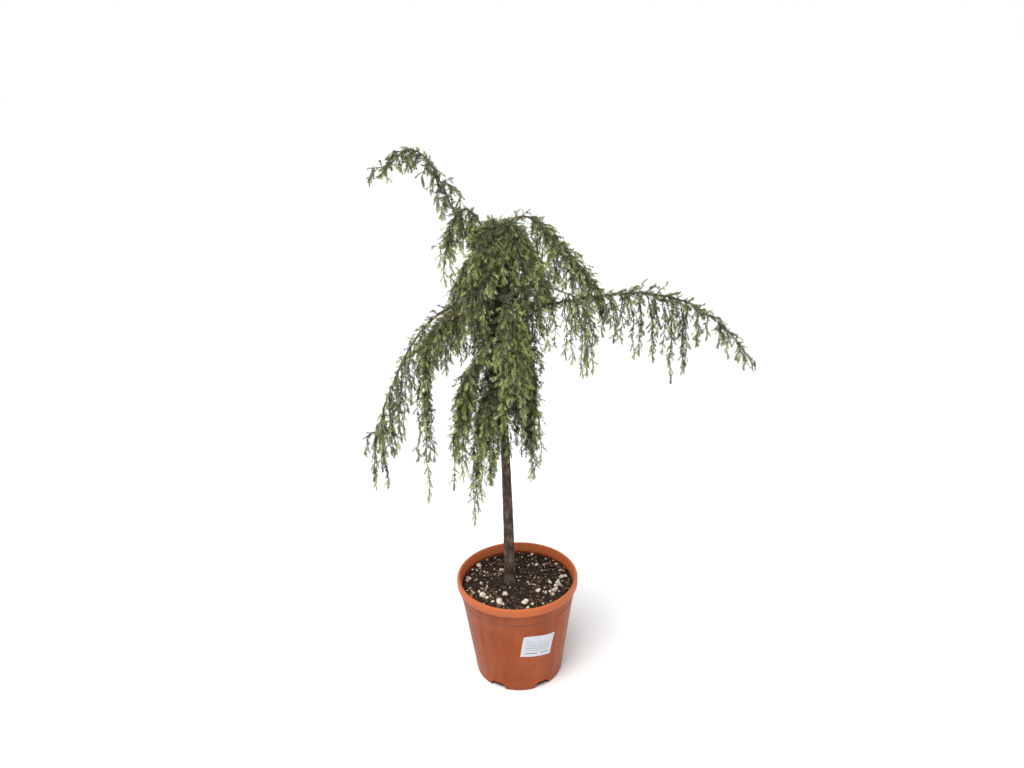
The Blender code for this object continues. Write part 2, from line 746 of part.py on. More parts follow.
def make_pot():
    rim_low = POT_HEIGHT - RIM_BAND
    rim_high = POT_HEIGHT - RIM_ROUNDING
    panel_low = PANEL_BOTTOM + PANEL_STEP_UP
    panel_high = COLLAR_BOTTOM - PANEL_STEP_DOWN
    inner_high = POT_HEIGHT - RIM_INNER_DROP
    rings = [
        pot_ring(0.0, BASE_RADIUS - FOOT_ROUNDING),
        pot_ring(FOOT_ROUNDING, body_radius(FOOT_ROUNDING)),
        pot_ring(PANEL_BOTTOM, body_radius(PANEL_BOTTOM)),
        pot_ring(panel_low, body_radius(panel_low), PANEL_DEPTH),
        pot_ring(panel_high, body_radius(panel_high), PANEL_DEPTH),
        pot_ring(COLLAR_BOTTOM, BODY_TOP_RADIUS),
        pot_ring(rim_low, COLLAR_RADIUS),
        pot_ring(rim_low + RIM_UNDERSIDE, RIM_RADIUS - 0.36 * RIM_ROUNDING),
        pot_ring(rim_low + 0.5 * RIM_ROUNDING, RIM_RADIUS - 0.05 * RIM_ROUNDING),
        pot_ring(rim_high, RIM_RADIUS),
        pot_ring(POT_HEIGHT - 0.27 * RIM_ROUNDING, RIM_RADIUS - 0.4 * RIM_FLAT),
        pot_ring(POT_HEIGHT, RIM_RADIUS - RIM_FLAT),
        pot_ring(POT_HEIGHT - 0.25 * RIM_ROUNDING, RIM_INNER_RADIUS),
        pot_ring(inner_high, inner_radius(inner_high)),
        pot_ring(COLLAR_BOTTOM, inner_radius(COLLAR_BOTTOM)),
        pot_ring(FLOOR, inner_radius(FLOOR)),
    ]
    vertices, faces = skin(rings)
    pot = turned_out(new_object("pot", vertices, faces, POT_COLOUR, 0.45))
    return combined(pot, [make_notch(k) for k in range(FEET)], "DIFFERENCE")


def inner_radius(height):
    """Radius of the inside of the pot's wall."""
    if height <= COLLAR_BOTTOM:
        return body_radius(height) - WALL
    rise = (height - COLLAR_BOTTOM) / (POT_HEIGHT - COLLAR_BOTTOM)
    return BODY_TOP_RADIUS - WALL + INSIDE_TAPER * rise


def make_soil():
    rng = random.Random(SEED)
    low = FLOOR + FIT
    edge = SOIL_LEVEL - SOIL_EDGE_DROP
    uneven = [(x, y, SOIL_LEVEL - rng.uniform(0.0, SOIL_UNEVENNESS)) for x, y, _ in pot_ring(0.0, SOIL_RING)]
    rings = [
        pot_ring(low, inner_radius(low) - FIT),
        pot_ring(COLLAR_BOTTOM, inner_radius(COLLAR_BOTTOM) - FIT),
        pot_ring(edge, inner_radius(edge) - FIT),
        uneven,
    ]
    vertices, faces = skin(rings, close_end=False)
    middle = len(vertices)
    vertices.append((0.0, 0.0, SOIL_LEVEL))
    last = middle - len(uneven)
    faces += [(last + j, last + (j + 1) % len(uneven), middle) for j in range(len(uneven))]
    return turned_out(new_object("soil", vertices, faces, SOIL_COLOUR, 0.95))


def make_label():
    """A thin plate bent to the pot's wall, standing clear of the recess behind it."""
    middle_radius = body_radius(LABEL_MIDDLE)
    tilt = math.radians(LABEL_TILT)
    low = -LABEL_HEIGHT / 2.0
    high = LABEL_HEIGHT / 2.0
    rings = []
    for i in range(LABEL_STEPS + 1):
        across = LABEL_WIDTH * (i / LABEL_STEPS - 0.5)
        ring = []
        for up, out in ((low, 0.0), (low, LABEL_THICKNESS), (high, LABEL_THICKNESS), (high, 0.0)):
            height = LABEL_MIDDLE + up * math.cos(tilt) - across * math.sin(tilt)
            along = across * math.cos(tilt) + up * math.sin(tilt)
            angle = math.radians(FRONT + LABEL_ANGLE) + along / middle_radius
            radius = body_radius(height) - PANEL_DEPTH + GAP + out
            ring.append((radius * math.cos(angle), radius * math.sin(angle), height))
        rings.append(ring)
    vertices, faces = skin(rings)
    return turned_out(new_object("label", vertices, faces, LABEL_COLOUR, 0.5))


def main():
    for old in list(bpy.data.objects):
        bpy.data.objects.remove(old)
    make_pot()
    make_soil()
    make_label()
    make_trunk()
    for name, limb in LIMBS.items():
        if limb[5] > 0.0:
            make_bough(name)
    for name, (core, twigs, sprays) in plan_crown().items():
        made = make_mass(name, core, twigs, sprays)
        print(name, len(twigs), "twigs", len(sprays), "sprays", len(made.data.polygons), "triangles")


main()
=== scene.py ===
"""The looks of the potted weeping juniper: needles, twigs, bark, plastic pot, growing mix and label.

Metres, with +Z up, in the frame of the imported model. The crown is grown again by the rule that
shaped the solids, and then carried on to finer hanging shoots, side shoots and needles.
"""

import math
import random

import bmesh
import bpy
import numpy as np
from mathutils import Matrix, Vector, noise


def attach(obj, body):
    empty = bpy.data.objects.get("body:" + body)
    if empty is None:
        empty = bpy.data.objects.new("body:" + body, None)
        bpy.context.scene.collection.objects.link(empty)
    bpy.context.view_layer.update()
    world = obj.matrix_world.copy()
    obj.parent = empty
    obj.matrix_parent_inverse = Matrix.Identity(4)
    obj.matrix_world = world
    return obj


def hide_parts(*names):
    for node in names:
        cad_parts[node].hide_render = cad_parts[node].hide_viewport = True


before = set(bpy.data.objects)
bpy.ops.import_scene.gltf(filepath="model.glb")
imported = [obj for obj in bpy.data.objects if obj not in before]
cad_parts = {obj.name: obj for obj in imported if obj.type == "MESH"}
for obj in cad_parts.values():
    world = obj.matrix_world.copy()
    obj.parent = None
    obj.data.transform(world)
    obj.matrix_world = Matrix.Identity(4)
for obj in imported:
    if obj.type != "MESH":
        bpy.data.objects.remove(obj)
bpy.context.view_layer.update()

# Directions, and about a full turn, for random ones
ACROSS = np.array([1.0, 0.0, 0.0])
BACK = np.array([0.0, 1.0, 0.0])
UP = np.array([0.0, 0.0, 1.0])
DOWN = np.array([0.0, 0.0, -1.0])
NEARLY_ACROSS = 0.8
ROUND = 6.28

# Camera, as found from the pot's rim, foot and label in the photograph
FOCAL_LENGTH_MM = 29.9
SENSOR_WIDTH_MM = 36.0
CAMERA_PLACE = (-0.0005, -1.499, 1.240)
CAMERA_PITCH = 21.53
CAMERA_ROLL = -1.50

# White light from the horizon all round, less from overhead, and a broad key light from the left
OVERHEAD_LIGHT = 0.66
HORIZON_END = 0.10
OVERHEAD_START = 0.45
KEY_LIGHT = 3.1
KEY_SOFTNESS = 40.0
KEY_PLACE = (-0.7, -1.0, 2.6)
FLOOR_REACH = 30.0
FLOOR_COLOUR = (0.86, 0.86, 0.86)

# Pot
POT_HEIGHT = 0.224
RIM_RADIUS = 0.125
RIM_INNER_RADIUS = 0.1185
RIM_BAND = 0.018
COLLAR_RADIUS = 0.1172
COLLAR_BOTTOM = 0.182
BODY_TOP_RADIUS = 0.1165
BASE_RADIUS = 0.0905
WALL = 0.0045
FLOOR = 0.0033
PANEL_DEPTH = 0.0018
PANEL_BOTTOM = 0.017
PANEL_EDGE = 43.5
PANEL_EDGE_SOFTNESS = 1.2
FEET = 6
NOTCH_HALF_ANGLE = 10.5
NOTCH_HEIGHT = 0.0145
NOTCH_FOOT = 1.04
NOTCH_BELOW = 0.003
NOTCH_START = 0.0012
NOTCH_ROUNDING = (0.62, 0.70)
NOTCH_REACH = (0.072, 0.110)
FRONT = -90.0
POT_SIDES = 240
POT_SHARP = 38.0

# The pot's outline: the rounded foot as height and distance from the base's radius, heights below
# and rows of the panels, the steps at the collar and the rim as height and radius, the rounded lip,
# and heights down the inside
FOOT_EDGE = ((0.0, -0.0016), (0.0005, -0.0005), (0.0016, 0.0002))
PILLAR_HEIGHTS = (0.006, 0.011, PANEL_BOTTOM - 0.001)
PANEL_STEP = 0.0026
PANEL_STEP_FOOT = PANEL_BOTTOM - 0.0008
PANEL_START = 0.024
PANEL_END = 0.004
PANEL_ROWS = 18
COLLAR_FLARE = 0.0052
COLLAR_EDGE = ((0.0006, BODY_TOP_RADIUS + 0.0004), (0.0020, COLLAR_RADIUS))
RIM_EDGE = (
    (-0.0008, COLLAR_RADIUS),
    (0.0, COLLAR_RADIUS + 0.0003),
    (0.0001, RIM_RADIUS - 0.0026),
    (0.0008, RIM_RADIUS - 0.0010),
    (0.0024, RIM_RADIUS - 0.0001),
)
RIM_FACE_END = 0.0080
LIP_DROP = 0.0040
LIP_WIDTH = 0.0034
INNER_LIP_DROP = 0.0022
INNER_HEIGHTS = (POT_HEIGHT - 0.0060, 0.205, 0.196, COLLAR_BOTTOM, 0.12, 0.06, FLOOR)

# Growing mix
SOIL_LEVEL = 0.205
FIT = 0.0004

# Label
LABEL_ANGLE = 21.3
LABEL_MIDDLE = 0.1185
LABEL_WIDTH = 0.0695
LABEL_HEIGHT = 0.054
LABEL_TILT = 8.5
LABEL_COLUMNS = 50
LABEL_SHARP = 40.0
PAPER_THICKNESS = 0.00026
PAPER_GAP = 0.00012
PAPER_EDGE = 0.0015
PAPER_WAVE = 0.00022
PAPER_SAG = 0.0007
CORNER_LIFT = 0.0010

# Ruled lines on the label: distance below its top, thickness, and the shares across where they end
LABEL_RULES = (
    (0.0150, 0.0007, 0.10, 0.72),
    (0.0205, 0.0009, 0.08, 0.86),
    (0.0262, 0.0009, 0.08, 0.92),
    (0.0318, 0.0012, 0.10, 0.90),
    (0.0372, 0.0009, 0.08, 0.92),
    (0.0455, 0.0022, 0.12, 0.52),
    (0.0455, 0.0022, 0.62, 0.90),
)

# Trunk
TRUNK_FOOT = SOIL_LEVEL + FIT
TRUNK_TOP = 0.946
TRUNK_FOOT_X = -0.0155
TRUNK_LEAN = 0.005
TRUNK_SWAY = 0.0012
TRUNK_FOOT_RADIUS = 0.0115
TRUNK_TOP_RADIUS = 0.0042
FLARE = 0.0014
FLARE_HEIGHT = 0.020

# Limbs
BOUGH_FOOT_RADIUS = 0.0031
BOUGH_TIP_RADIUS = 0.0019
STEM_RADIUS = 0.0018
BOUGH_POINTS = 40
LIMB_POINTS = 60
BRANCH_POINTS = 25
NUDGE = 0.001

# Core of a dense mass, which other masses stay out of
CORE_SIDES = 6
CORE_SPAN = (0.16, 0.95)
CORE_STEP = 0.034
CORE_TWIST = 25.0
CORE_JAG = (0.75, 1.15)
CORE_FULLNESS = 0.6
LEAST_CORE = 0.006
CORE_SHRINK = 0.002
CORE_BALL = 0.5

# Main hanging branches
TWIG_SHARE = 0.36
TWIG_OVERLAP = 0.06
TWIG_STEP = 0.026
LONG_BRANCH = 0.10
SIDE_EVERY = 3
TOOTH_REACH = 0.0130
TOOTH_TAPER = 0.5
TOOTH_STEP = 0.036
TOOTH_LEAN = (0.84, 0.20)
TOOTH_OUT = (0.86, 0.24)
TWIST = 44.0
SIDE_FALL = 0.062
SIDE_REACH = 0.020
SIDE_TURN = (40.0, 85.0)
SIDE_ROLL = 50.0

# Shape of a hanging branch: how high it arches for its reach, and how soon it turns down
ARCH = 0.7
OUT_POWER = 2.2
FALL_POWER = 1.5
FALL_SPREAD = (0.72, 1.08)
LEAST_FALL = 0.028
TIP_DROOP = 0.35
TIP_REACH = 0.5
LEAST_TIP_REACH = 0.012
LEAST_TIP_FALL = 0.045

# Room that branches keep from each other
CLEARANCE = 0.0026
OWN_CLEARANCE = 0.0006
ROOT_ROOM = 0.016
BRANCH_ROOM = 0.0015
SPRAY_ROOM = 0.0012
ROOM_STEP = 0.004
ROOM_SPLITS = 5
LEAST_KEPT = 0.6
LEAST_STEPS = 2
PLACE_SPREAD = 0.7
TRIES = 5

# Each limb leaves the trunk at a height, on a bearing (0 is +X, 90 is +Y), and follows one curve.
# The curve is given by three (out, up) controls from that point, and the last is its end.
# The bough is the share of the curve that carries no foliage; 0 means the stem meets the trunk.
LIMBS = {
    "leader": (0.885, 180.0, (0.098, 0.045), (0.083, 0.294), (0.192, 0.156), 0.34),
    "upper_right": (0.930, 4.0, (0.048, 0.096), (0.115, -0.031), (0.180, -0.110), 0.24),
    "right_long": (0.800, 0.0, (0.158, -0.010), (0.318, 0.104), (0.464, -0.118), 0.34),
    "left_long": (0.775, 178.0, (0.087, 0.088), (0.178, -0.030), (0.238, -0.225), 0.46),
    "left_front": (0.760, 191.0, (0.070, 0.060), (0.142, 0.060), (0.136, -0.150), 0.50),
    "back_left": (0.840, 116.0, (0.070, 0.070), (0.160, 0.040), (0.185, -0.100), 0.42),
    "back_right": (0.860, 60.0, (0.070, 0.060), (0.150, 0.030), (0.180, -0.100), 0.42),
    "front": (0.815, -78.0, (0.050, 0.050), (0.105, 0.030), (0.118, -0.100), 0.42),
    "shoulder": (0.900, 200.0, (0.043, 0.106), (0.062, 0.115), (0.090, 0.012), 0.0),
    "right_inner": (0.835, -13.0, (0.050, 0.015), (0.105, 0.010), (0.150, -0.020), 0.0),
    "left_inner": (0.742, 158.0, (0.050, 0.050), (0.110, 0.060), (0.140, -0.030), 0.0),
    "crown_front_left": (0.930, 246.0, (0.030, 0.050), (0.068, 0.010), (0.072, -0.210), 0.0),
    "crown_front_right": (0.932, -44.0, (0.030, 0.055), (0.064, 0.015), (0.068, -0.210), 0.0),
    "crown_back": (0.925, 92.0, (0.030, 0.050), (0.072, 0.010), (0.076, -0.210), 0.0),
    "curtain_left": (0.690, 190.0, (0.030, 0.030), (0.068, 0.010), (0.072, -0.110), 0.0),
    "curtain_right": (0.740, -20.0, (0.034, 0.030), (0.060, -0.010), (0.046, -0.170), 0.0),
    "curtain_back": (0.690, 92.0, (0.030, 0.030), (0.070, 0.010), (0.074, -0.120), 0.0),
    "curtain_front": (0.640, 241.0, (0.025, 0.025), (0.062, 0.010), (0.066, -0.090), 0.0),
}

# How each mass hangs: number of side branches, where along its stem they begin, the least and
# greatest turn of a branch from its limb's bearing, how far out they reach, how far they fall at
# even steps from the start of the stem to its end, and the radius of the core in the dense middle.
MASSES = {
    "leader": (15, 0.02, (25, 165), (0.018, 0.042), (0.030, 0.040, 0.034, 0.026), 0.0),
    "right_long": (20, 0.01, (15, 85), (0.010, 0.028),
                   (0.070, 0.105, 0.155, 0.178, 0.062, 0.060, 0.030), 0.0),
    "left_long": (19, 0.02, (10, 95), (0.008, 0.022), (0.060, 0.160, 0.150), 0.0),
    "left_front": (16, 0.02, (15, 100), (0.010, 0.024), (0.070, 0.130, 0.215), 0.0),
    "upper_right": (18, 0.02, (15, 95), (0.014, 0.034), (0.080, 0.110, 0.060), 0.0),
    "right_inner": (8, 0.76, (10, 80), (0.010, 0.022), (0.110, 0.140, 0.160), 0.0),
    "shoulder": (16, 0.12, (10, 100), (0.009, 0.024), (0.045, 0.086, 0.080), 0.0),
    "left_inner": (11, 0.38, (10, 90), (0.014, 0.030), (0.080, 0.110, 0.100), 0.0),
    "curtain_front": (19, 0.22, (10, 95), (0.014, 0.034), (0.138, 0.172, 0.198), 0.010),
    "curtain_left": (15, 0.35, (15, 85), (0.012, 0.026), (0.120, 0.165, 0.198), 0.012),
    "curtain_right": (18, 0.22, (10, 95), (0.010, 0.024), (0.100, 0.145, 0.158), 0.010),
    "curtain_back": (7, 0.35, (15, 90), (0.018, 0.040), (0.090, 0.110, 0.130), 0.012),
    "front": (10, 0.05, (15, 95), (0.016, 0.032), (0.110, 0.170, 0.160), 0.0),
    "crown_front_left": (13, 0.04, (15, 95), (0.022, 0.040), (0.060, 0.080, 0.090), 0.020),
    "crown_front_right": (13, 0.04, (15, 95), (0.022, 0.040), (0.060, 0.080, 0.090), 0.020),
    "crown_back": (12, 0.04, (15, 95), (0.026, 0.050), (0.060, 0.080, 0.090), 0.022),
    "back_left": (8, 0.05, (15, 95), (0.018, 0.038), (0.110, 0.170, 0.140), 0.0),
    "back_right": (8, 0.05, (15, 95), (0.018, 0.038), (0.100, 0.140, 0.105), 0.0),
}
SEED = 41
SEED_STEP = 7

# Finer growth between the main branches: the step between finer hanging shoots along a stem, and
# how full the side shoots of every hanging shoot are, for masses that aren't as dense as the rest
FINE_GROWTH = {
    "leader": (0.034, 1.00),
    "right_long": (0.025, 0.92),
    "left_long": (0.026, 0.88),
    "left_front": (0.026, 0.88),
    "upper_right": (0.0105, 1.08),
    "right_inner": (0.0092, 1.05),
    "shoulder": (0.0090, 1.05),
    "curtain_right": (0.0062, 1.12),
    "curtain_front": (0.0066, 1.10),
    "curtain_left": (0.0064, 1.12),
}
USUAL_GROWTH = (0.0080, 1.08)
FINE_TURNS = (0.6, 1.15)
FINE_FALLS = (0.20, 0.80)
LEAST_FINE_FALL = 0.018
FINE_REACHES = (0.6, 0.9)
ARM_CLOSING = 0.5

# Short shoots in the dense middle of a mass, their lengths as shares of its core's radius
DENSE_STEP = 0.0042
DENSE_START = 0.12
DENSE_LENGTH = (0.8, 1.9)
DENSE_LEAN = (0.8, 1.4)
DENSE_DROOP = (0.4, 0.8)

# Shoots off the trunk inside the crown, and round its tip
TRUNK_SHOOTS = 130
TRUNK_SHOOTS_FOOT = 0.560
TRUNK_SHOOTS_SPAN = 0.375
TRUNK_SHOOT_ROOT = 0.9
TRUNK_SHOOT_REACH = (0.020, 0.050)
TRUNK_SHOOT_FALL = (0.030, 0.085)
TOP_SHOOTS = 60
TOP_SHOOTS_SPAN = 0.045
TOP_SHOOT_ROOT = 0.8
TOP_SHOOT_LEAN = (0.25, 1.15)
TOP_SHOOT_TURN = 0.15
TOP_SHOOT_LENGTH = (0.012, 0.030)
TOP_SHOOT_DROOP = (0.05, 0.35)

# Kinds of hanging shoot: how full its side shoots are, its thickness as a share of a main one's,
# and how long its foot is bare. The first two kinds are as full as their mass.
HANGERS = {
    "main": (None, 1.0, 0.010),
    "fine": (None, 0.7, 0.006),
    "dense": (0.60, 0.6, 0.004),
    "bushy": (0.45, 0.7, 0.003),
    "trunk": (0.9, 0.8, 0.010),
    "top": (0.6, 0.7, 0.004),
}
HANGER_RADIUS = 0.0010
HANGER_TIP_RADIUS = 0.00045
HANGER_STEP = 0.007
HANGER_SIDES = 4
LEAST_HANGER = 0.012
MOST_BARE = 0.3
END_BARE = 0.006
TRUNK_ROOM = 0.003
ROOT_POINTS = 3
WAVE = 0.0020
WAVE_BENDS = (1.2, 2.4)
WAVE_START = 3.0

# Side shoots of a hanging shoot, the longest near its foot, its middle and its tip
SHOOT_LENGTHS = (0.021, 0.86 * 0.021, 0.008)
LENGTH_SPREAD = (0.50, 1.15)
TIP_SHOOT = 0.005
TIP_TAPER = 0.85
LEAST_SHOOT = 0.005
SHOOT_RADIUS = 0.00055
SHOOT_TIP_RADIUS = 0.00030
SHOOT_POINTS = 4
SHOOT_SIDES = 3
SHOOT_STEP = 0.0068
STEP_SPREAD = (0.7, 1.3)
GOLDEN_ANGLE = 2.399963
TURN_SPREAD = (-0.3, 0.3)
SHOOT_LEAN = (0.45, 1.00)
SHOOT_DROOP = (0.15, 0.60)
SHOOT_BARE = 0.002

# The fork of a longer side shoot, its length and tuft as shares of the side shoot's length
FORKED_FROM = 0.018
FORKED_SHARE = 0.7
FORK_LEAN = 0.75
FORK_LENGTH = 0.45
FORK_DROOP = 0.3
FORK_BARE = 0.001
FORK_TUFT = 0.4

# Short bushy shoots straight off each limb: the step between them, the share of the limb where
# they begin, and how long they are at even steps from there to its end
STEM_SHOOT_STEP = 0.0046
STEM_SHOOT_START = 0.06
STEM_SHOOT_LENGTH = (0.009, 0.021)
STEM_SHOOT_SHARES = {
    "right_long": (1.00, 1.10, 1.65, 1.25, 0.45, 0.35),
    "upper_right": (0.90, 1.05, 1.40, 1.20),
    "leader": (0.80, 0.90, 0.80, 0.70),
    "left_long": (0.80, 0.80, 0.60, 0.40),
    "left_front": (0.80, 0.80, 0.60, 0.40),
    "shoulder": (0.40, 0.60, 1.00, 0.80),
}
USUAL_SHARES = (1.00, 0.95, 0.70, 0.55)
STEM_SHOOT_LEAN = (0.42, 1.05)
STEM_SHOOT_DROOP = (-0.15, 0.35)
STEM_BARE = 0.30
BUSHY_LENGTH = 0.012

# Needles
NEEDLE_LENGTH = (0.0052, 0.0076)
NEEDLE_WIDTH = 0.00138
NEEDLE_WIDTHS = (0.85, 1.15)
NEEDLE_KEEL = 0.50
NEEDLE_WIDEST = 0.38
NEEDLE_ROOT = 0.0002
NEEDLE_BEND = 0.08
NEEDLE_TURN = 0.25
NEEDLE_SPREAD = 0.16
END_NEEDLES = 1.20
SIDE_NEEDLES = 0.94
FORK_NEEDLES = 0.84
FIRST_TURN = 2.0
END_TUFT = 0.020
MOST_TUFT = 0.6
SIDE_TUFT = 0.0105
SIDE_TUFT_SHARE = 0.8
TUFT_SPREAD = (0.45, 0.52)
TUFT_CLOSING = 0.8
TUFT_SIZE = (0.78, 0.34)
TUFT_FOOT = 1.1
END_SLACK = 1e-6
OLD_STEP = 0.0031
OLD_SPREAD = 1.14
OLD_SIZE = 0.86
MOST_NEEDLES = 48000

# Parts of the crown that differ in how fresh and how dense their growth is, and in how much painted
# shade their needles carry, the inner crown the most, and for each of them
# the step between whorls in a tuft, the share of whorls left on older wood and the needles' size
OUTER = 0
INNER = 1
ARM = 2
DRY = 3
SHADED_TOP = 0.88
ZONES = {"leader": ARM, "right_long": ARM, "left_long": ARM, "left_front": ARM, "upper_right": DRY}
TUFT_STEP = (0.0023, 0.0032, 0.0020, 0.0022)
OLD_KEPT = (0.72, 0.56, 0.84, 0.78)
ZONE_SIZE = (1.0, 1.12, 1.06, 1.02)

# Plain base colours of the needles' outer side. Each shoot's growing tip and its older stretch
# take one by these shares: (tip, old) for the outer crown, the inner crown, the arms and the
# drier growth at the upper right. The inner side of every needle has a pale waxy band. The nearly
# black dark tint is painted shade between the needles, partly also the darker old foliage; the
# inner crown takes the most of it.
TINTS = {
    "fresh": ((0.600, 0.665, 0.245), ((0.34, 0.00), (0.05, 0.00), (0.12, 0.00), (0.26, 0.00))),
    "bright": ((0.315, 0.370, 0.122), ((0.40, 0.10), (0.10, 0.00), (0.34, 0.05), (0.34, 0.06))),
    "mid": ((0.120, 0.143, 0.054), ((0.23, 0.22), (0.22, 0.10), (0.42, 0.24), (0.26, 0.24))),
    # dark: nearly black, painted shade in the crown's depths, partly also darker old foliage
    "dark": ((0.012, 0.015, 0.010), ((0.02, 0.46), (0.52, 0.76), (0.10, 0.52), (0.00, 0.26))),
    "grey": ((0.250, 0.265, 0.215), ((0.01, 0.16), (0.11, 0.12), (0.02, 0.14), (0.00, 0.12))),
    "tan": ((0.330, 0.240, 0.145), ((0.00, 0.06), (0.00, 0.02), (0.00, 0.05), (0.14, 0.32))),
}
BAND_COLOUR = (0.125, 0.145, 0.085)

# Bark: how fine each pattern is round a limb and along it, and its share of the relief
PLATES = (2.2, 34.0, 0.55)
FIBRES = (6.0, 60.0, 0.45)
CRACKS = (3.0, 260.0, 0.35)

# Rings of the trunk and of the limbs, and how far bark, roots and knots stand out
TRUNK_SIDES = 44
TRUNK_STEP = 0.0024
TRUNK_SUNK = 0.004
TRUNK_RELIEF = (0.045, 0.050)
BUTTRESS = 0.05
BUTTRESS_TURN = 0.6
BUTTRESS_HEIGHT = 0.014
LIMB_SIDES = 14
LIMB_STEP = 0.0035
FINE_LIMB_POINTS = 120
LIMB_SUNK = 0.6
LIMB_RELIEF = 0.10
LIMB_SEED = 3.7
STEM_FOOT = 1.15
STEM_TIP_RADIUS = 0.0007
FOOT_SWELL = 0.45
FOOT_SWELL_LENGTH = 0.006
KNOT_RISE = 0.32
KNOT_DIP = 0.35
KNOT_DIP_SHARPNESS = 4.0
KNOT_END = 6.0

# Cut-off twig scars and knots on the lower trunk: height, bearing, size
KNOTS = (
    (0.262, 250.0, 0.0050), (0.298, 190.0, 0.0040), (0.337, 285.0, 0.0045), (0.371, 40.0, 0.0050),
    (0.405, 262.0, 0.0042), (0.436, 140.0, 0.0045), (0.470, 300.0, 0.0040), (0.505, 230.0, 0.0045),
    (0.548, 20.0, 0.0040), (0.585, 275.0, 0.0042),
)

# Bed of growing mix: how it is made, how lumpy it is, and its low edge and high middle
BED_SIDES = 120
BED_RINGS = 44
BED_HOLE = 0.0015
BED_MIDDLE = 0.1
BED_EDGE = 0.010
BED_FINENESS = 60.0
BED_SINK = 0.0024
BED_RELIEF = 0.0016
EDGE_SINK = 0.0025
MOUND = 0.0035
MOUND_SPREAD = 0.0009

# Lumps, chips and fibres on the bed
STREWN_WIDTH = 0.115
SMALL_ONES = 2.2
STRETCH = (0.75, 1.25)
THICKNESS_SPREAD = (0.8, 1.2)
FLAT = 0.6
MOST_TIPPED = 0.5
BROKEN_AT = (0.55, 0.85)
BROKEN_SWELL = 0.10
WHOLE_SWELL = 0.30
FIBRES_ON_BED = 150
FIBRE_ROOM = 0.008
FIBRE_LENGTH = (0.006, 0.018)
FIBRE_BEND = (-0.004, 0.004)
FIBRE_LIFT = 0.0014
FIBRE_RADII = (0.00032, 0.00020)

# Kinds of loose things, in the order in which they are strewn: how many, their least and greatest
# size, their room from the wall, how thick they are for their width, how finely they are made, how
# high they lie for their size, how many sides are broken off, how many shapes there are, and their
# material. The large pumice has its own places.
STREWN = {
    "soil_crumbs": (2600, (0.0016, 0.0052), 0.002, 0.8, 1, 0.12, 0, 12, "soil_crumbs"),
    "soil_fine": (3000, (0.0010, 0.0030), 0.002, 0.9, 1, 0.25, 0, 12, "dark_soil_crumbs"),
    "bark_chips": (330, (0.0032, 0.0105), 0.006, 0.30, 1, 0.22, 0, 12, "bark_chips"),
    "wood_chips": (130, (0.0026, 0.0080), 0.005, 0.26, 1, 0.26, 0, 12, "wood_chips"),
    "pumice": (0, None, None, 0.80, 3, 0.24, 9, 16, "pumice"),
    "pumice_small": (210, (0.0016, 0.0050), 0.003, 0.85, 2, 0.25, 6, 12, "pumice"),
}

# Large lumps of pumice on the bed: x, y and size
PUMICE = (
    (-0.082, 0.064, 0.010), (-0.034, 0.044, 0.010), (0.043, 0.061, 0.009), (0.059, 0.042, 0.006),
    (0.084, 0.061, 0.008), (0.093, 0.013, 0.011), (0.085, -0.011, 0.012), (0.076, -0.031, 0.013),
    (0.057, -0.040, 0.009), (0.072, -0.047, 0.010), (0.042, -0.034, 0.014), (0.068, -0.004, 0.008),
    (0.014, -0.071, 0.015), (0.029, -0.076, 0.009), (-0.038, -0.067, 0.016), (-0.051, -0.067, 0.010),
    (-0.027, -0.044, 0.012), (-0.071, -0.044, 0.014), (-0.079, -0.032, 0.009), (-0.094, -0.028, 0.007),
    (-0.076, -0.002, 0.008), (0.022, -0.002, 0.006), (0.033, 0.102, 0.008), (-0.101, 0.016, 0.010),
    (0.101, 0.017, 0.010), (0.079, -0.018, 0.009), (0.066, -0.036, 0.007), (-0.030, -0.075, 0.008),
    (0.020, -0.088, 0.007), (0.086, 0.000, 0.007), (-0.063, -0.052, 0.007), (-0.086, 0.046, 0.007),
)

# Colours of the barks, dark, middle and light, and how fine their pattern is
BARKS = {
    "hanging_twig_bark": ((0.050, 0.036, 0.028), (0.115, 0.082, 0.060), (0.21, 0.165, 0.125), 240.0),
    "green_twig_bark": ((0.080, 0.095, 0.035), (0.150, 0.160, 0.060), (0.23, 0.21, 0.10), 300.0),
    "limb_bark": ((0.055, 0.038, 0.027), (0.155, 0.110, 0.080), (0.300, 0.235, 0.175), 190.0),
    "trunk_bark": ((0.026, 0.018, 0.013), (0.080, 0.055, 0.040), (0.175, 0.135, 0.103), 150.0),
}

# Colours of the pot's body, its rim and the dust on it, and by height the painted shade in the grooves
# under the rim and under the collar, where their shadow falls
PLASTIC = ((0.278, 0.0575, 0.0135), (0.435, 0.110, 0.036), (0.345, 0.135, 0.075))
UNSHADED = (1.0, 1.0, 1.0)
SHADE_LINE_TONE = (0.52, 0.45, 0.40)
# Painted shade: dark bands just under the rim and under the collar's step, multiplied into the colour
SHADE_LINES = (
    (COLLAR_BOTTOM - 0.0045, UNSHADED),
    (COLLAR_BOTTOM - 0.0010, SHADE_LINE_TONE),
    (COLLAR_BOTTOM + 0.0012, (0.60, 0.54, 0.50)),
    (COLLAR_BOTTOM + 0.0022, UNSHADED),
    (POT_HEIGHT - RIM_BAND - 0.0060, UNSHADED),
    (POT_HEIGHT - RIM_BAND - 0.0008, SHADE_LINE_TONE),
    (POT_HEIGHT - RIM_BAND + 0.0010, UNSHADED),
)

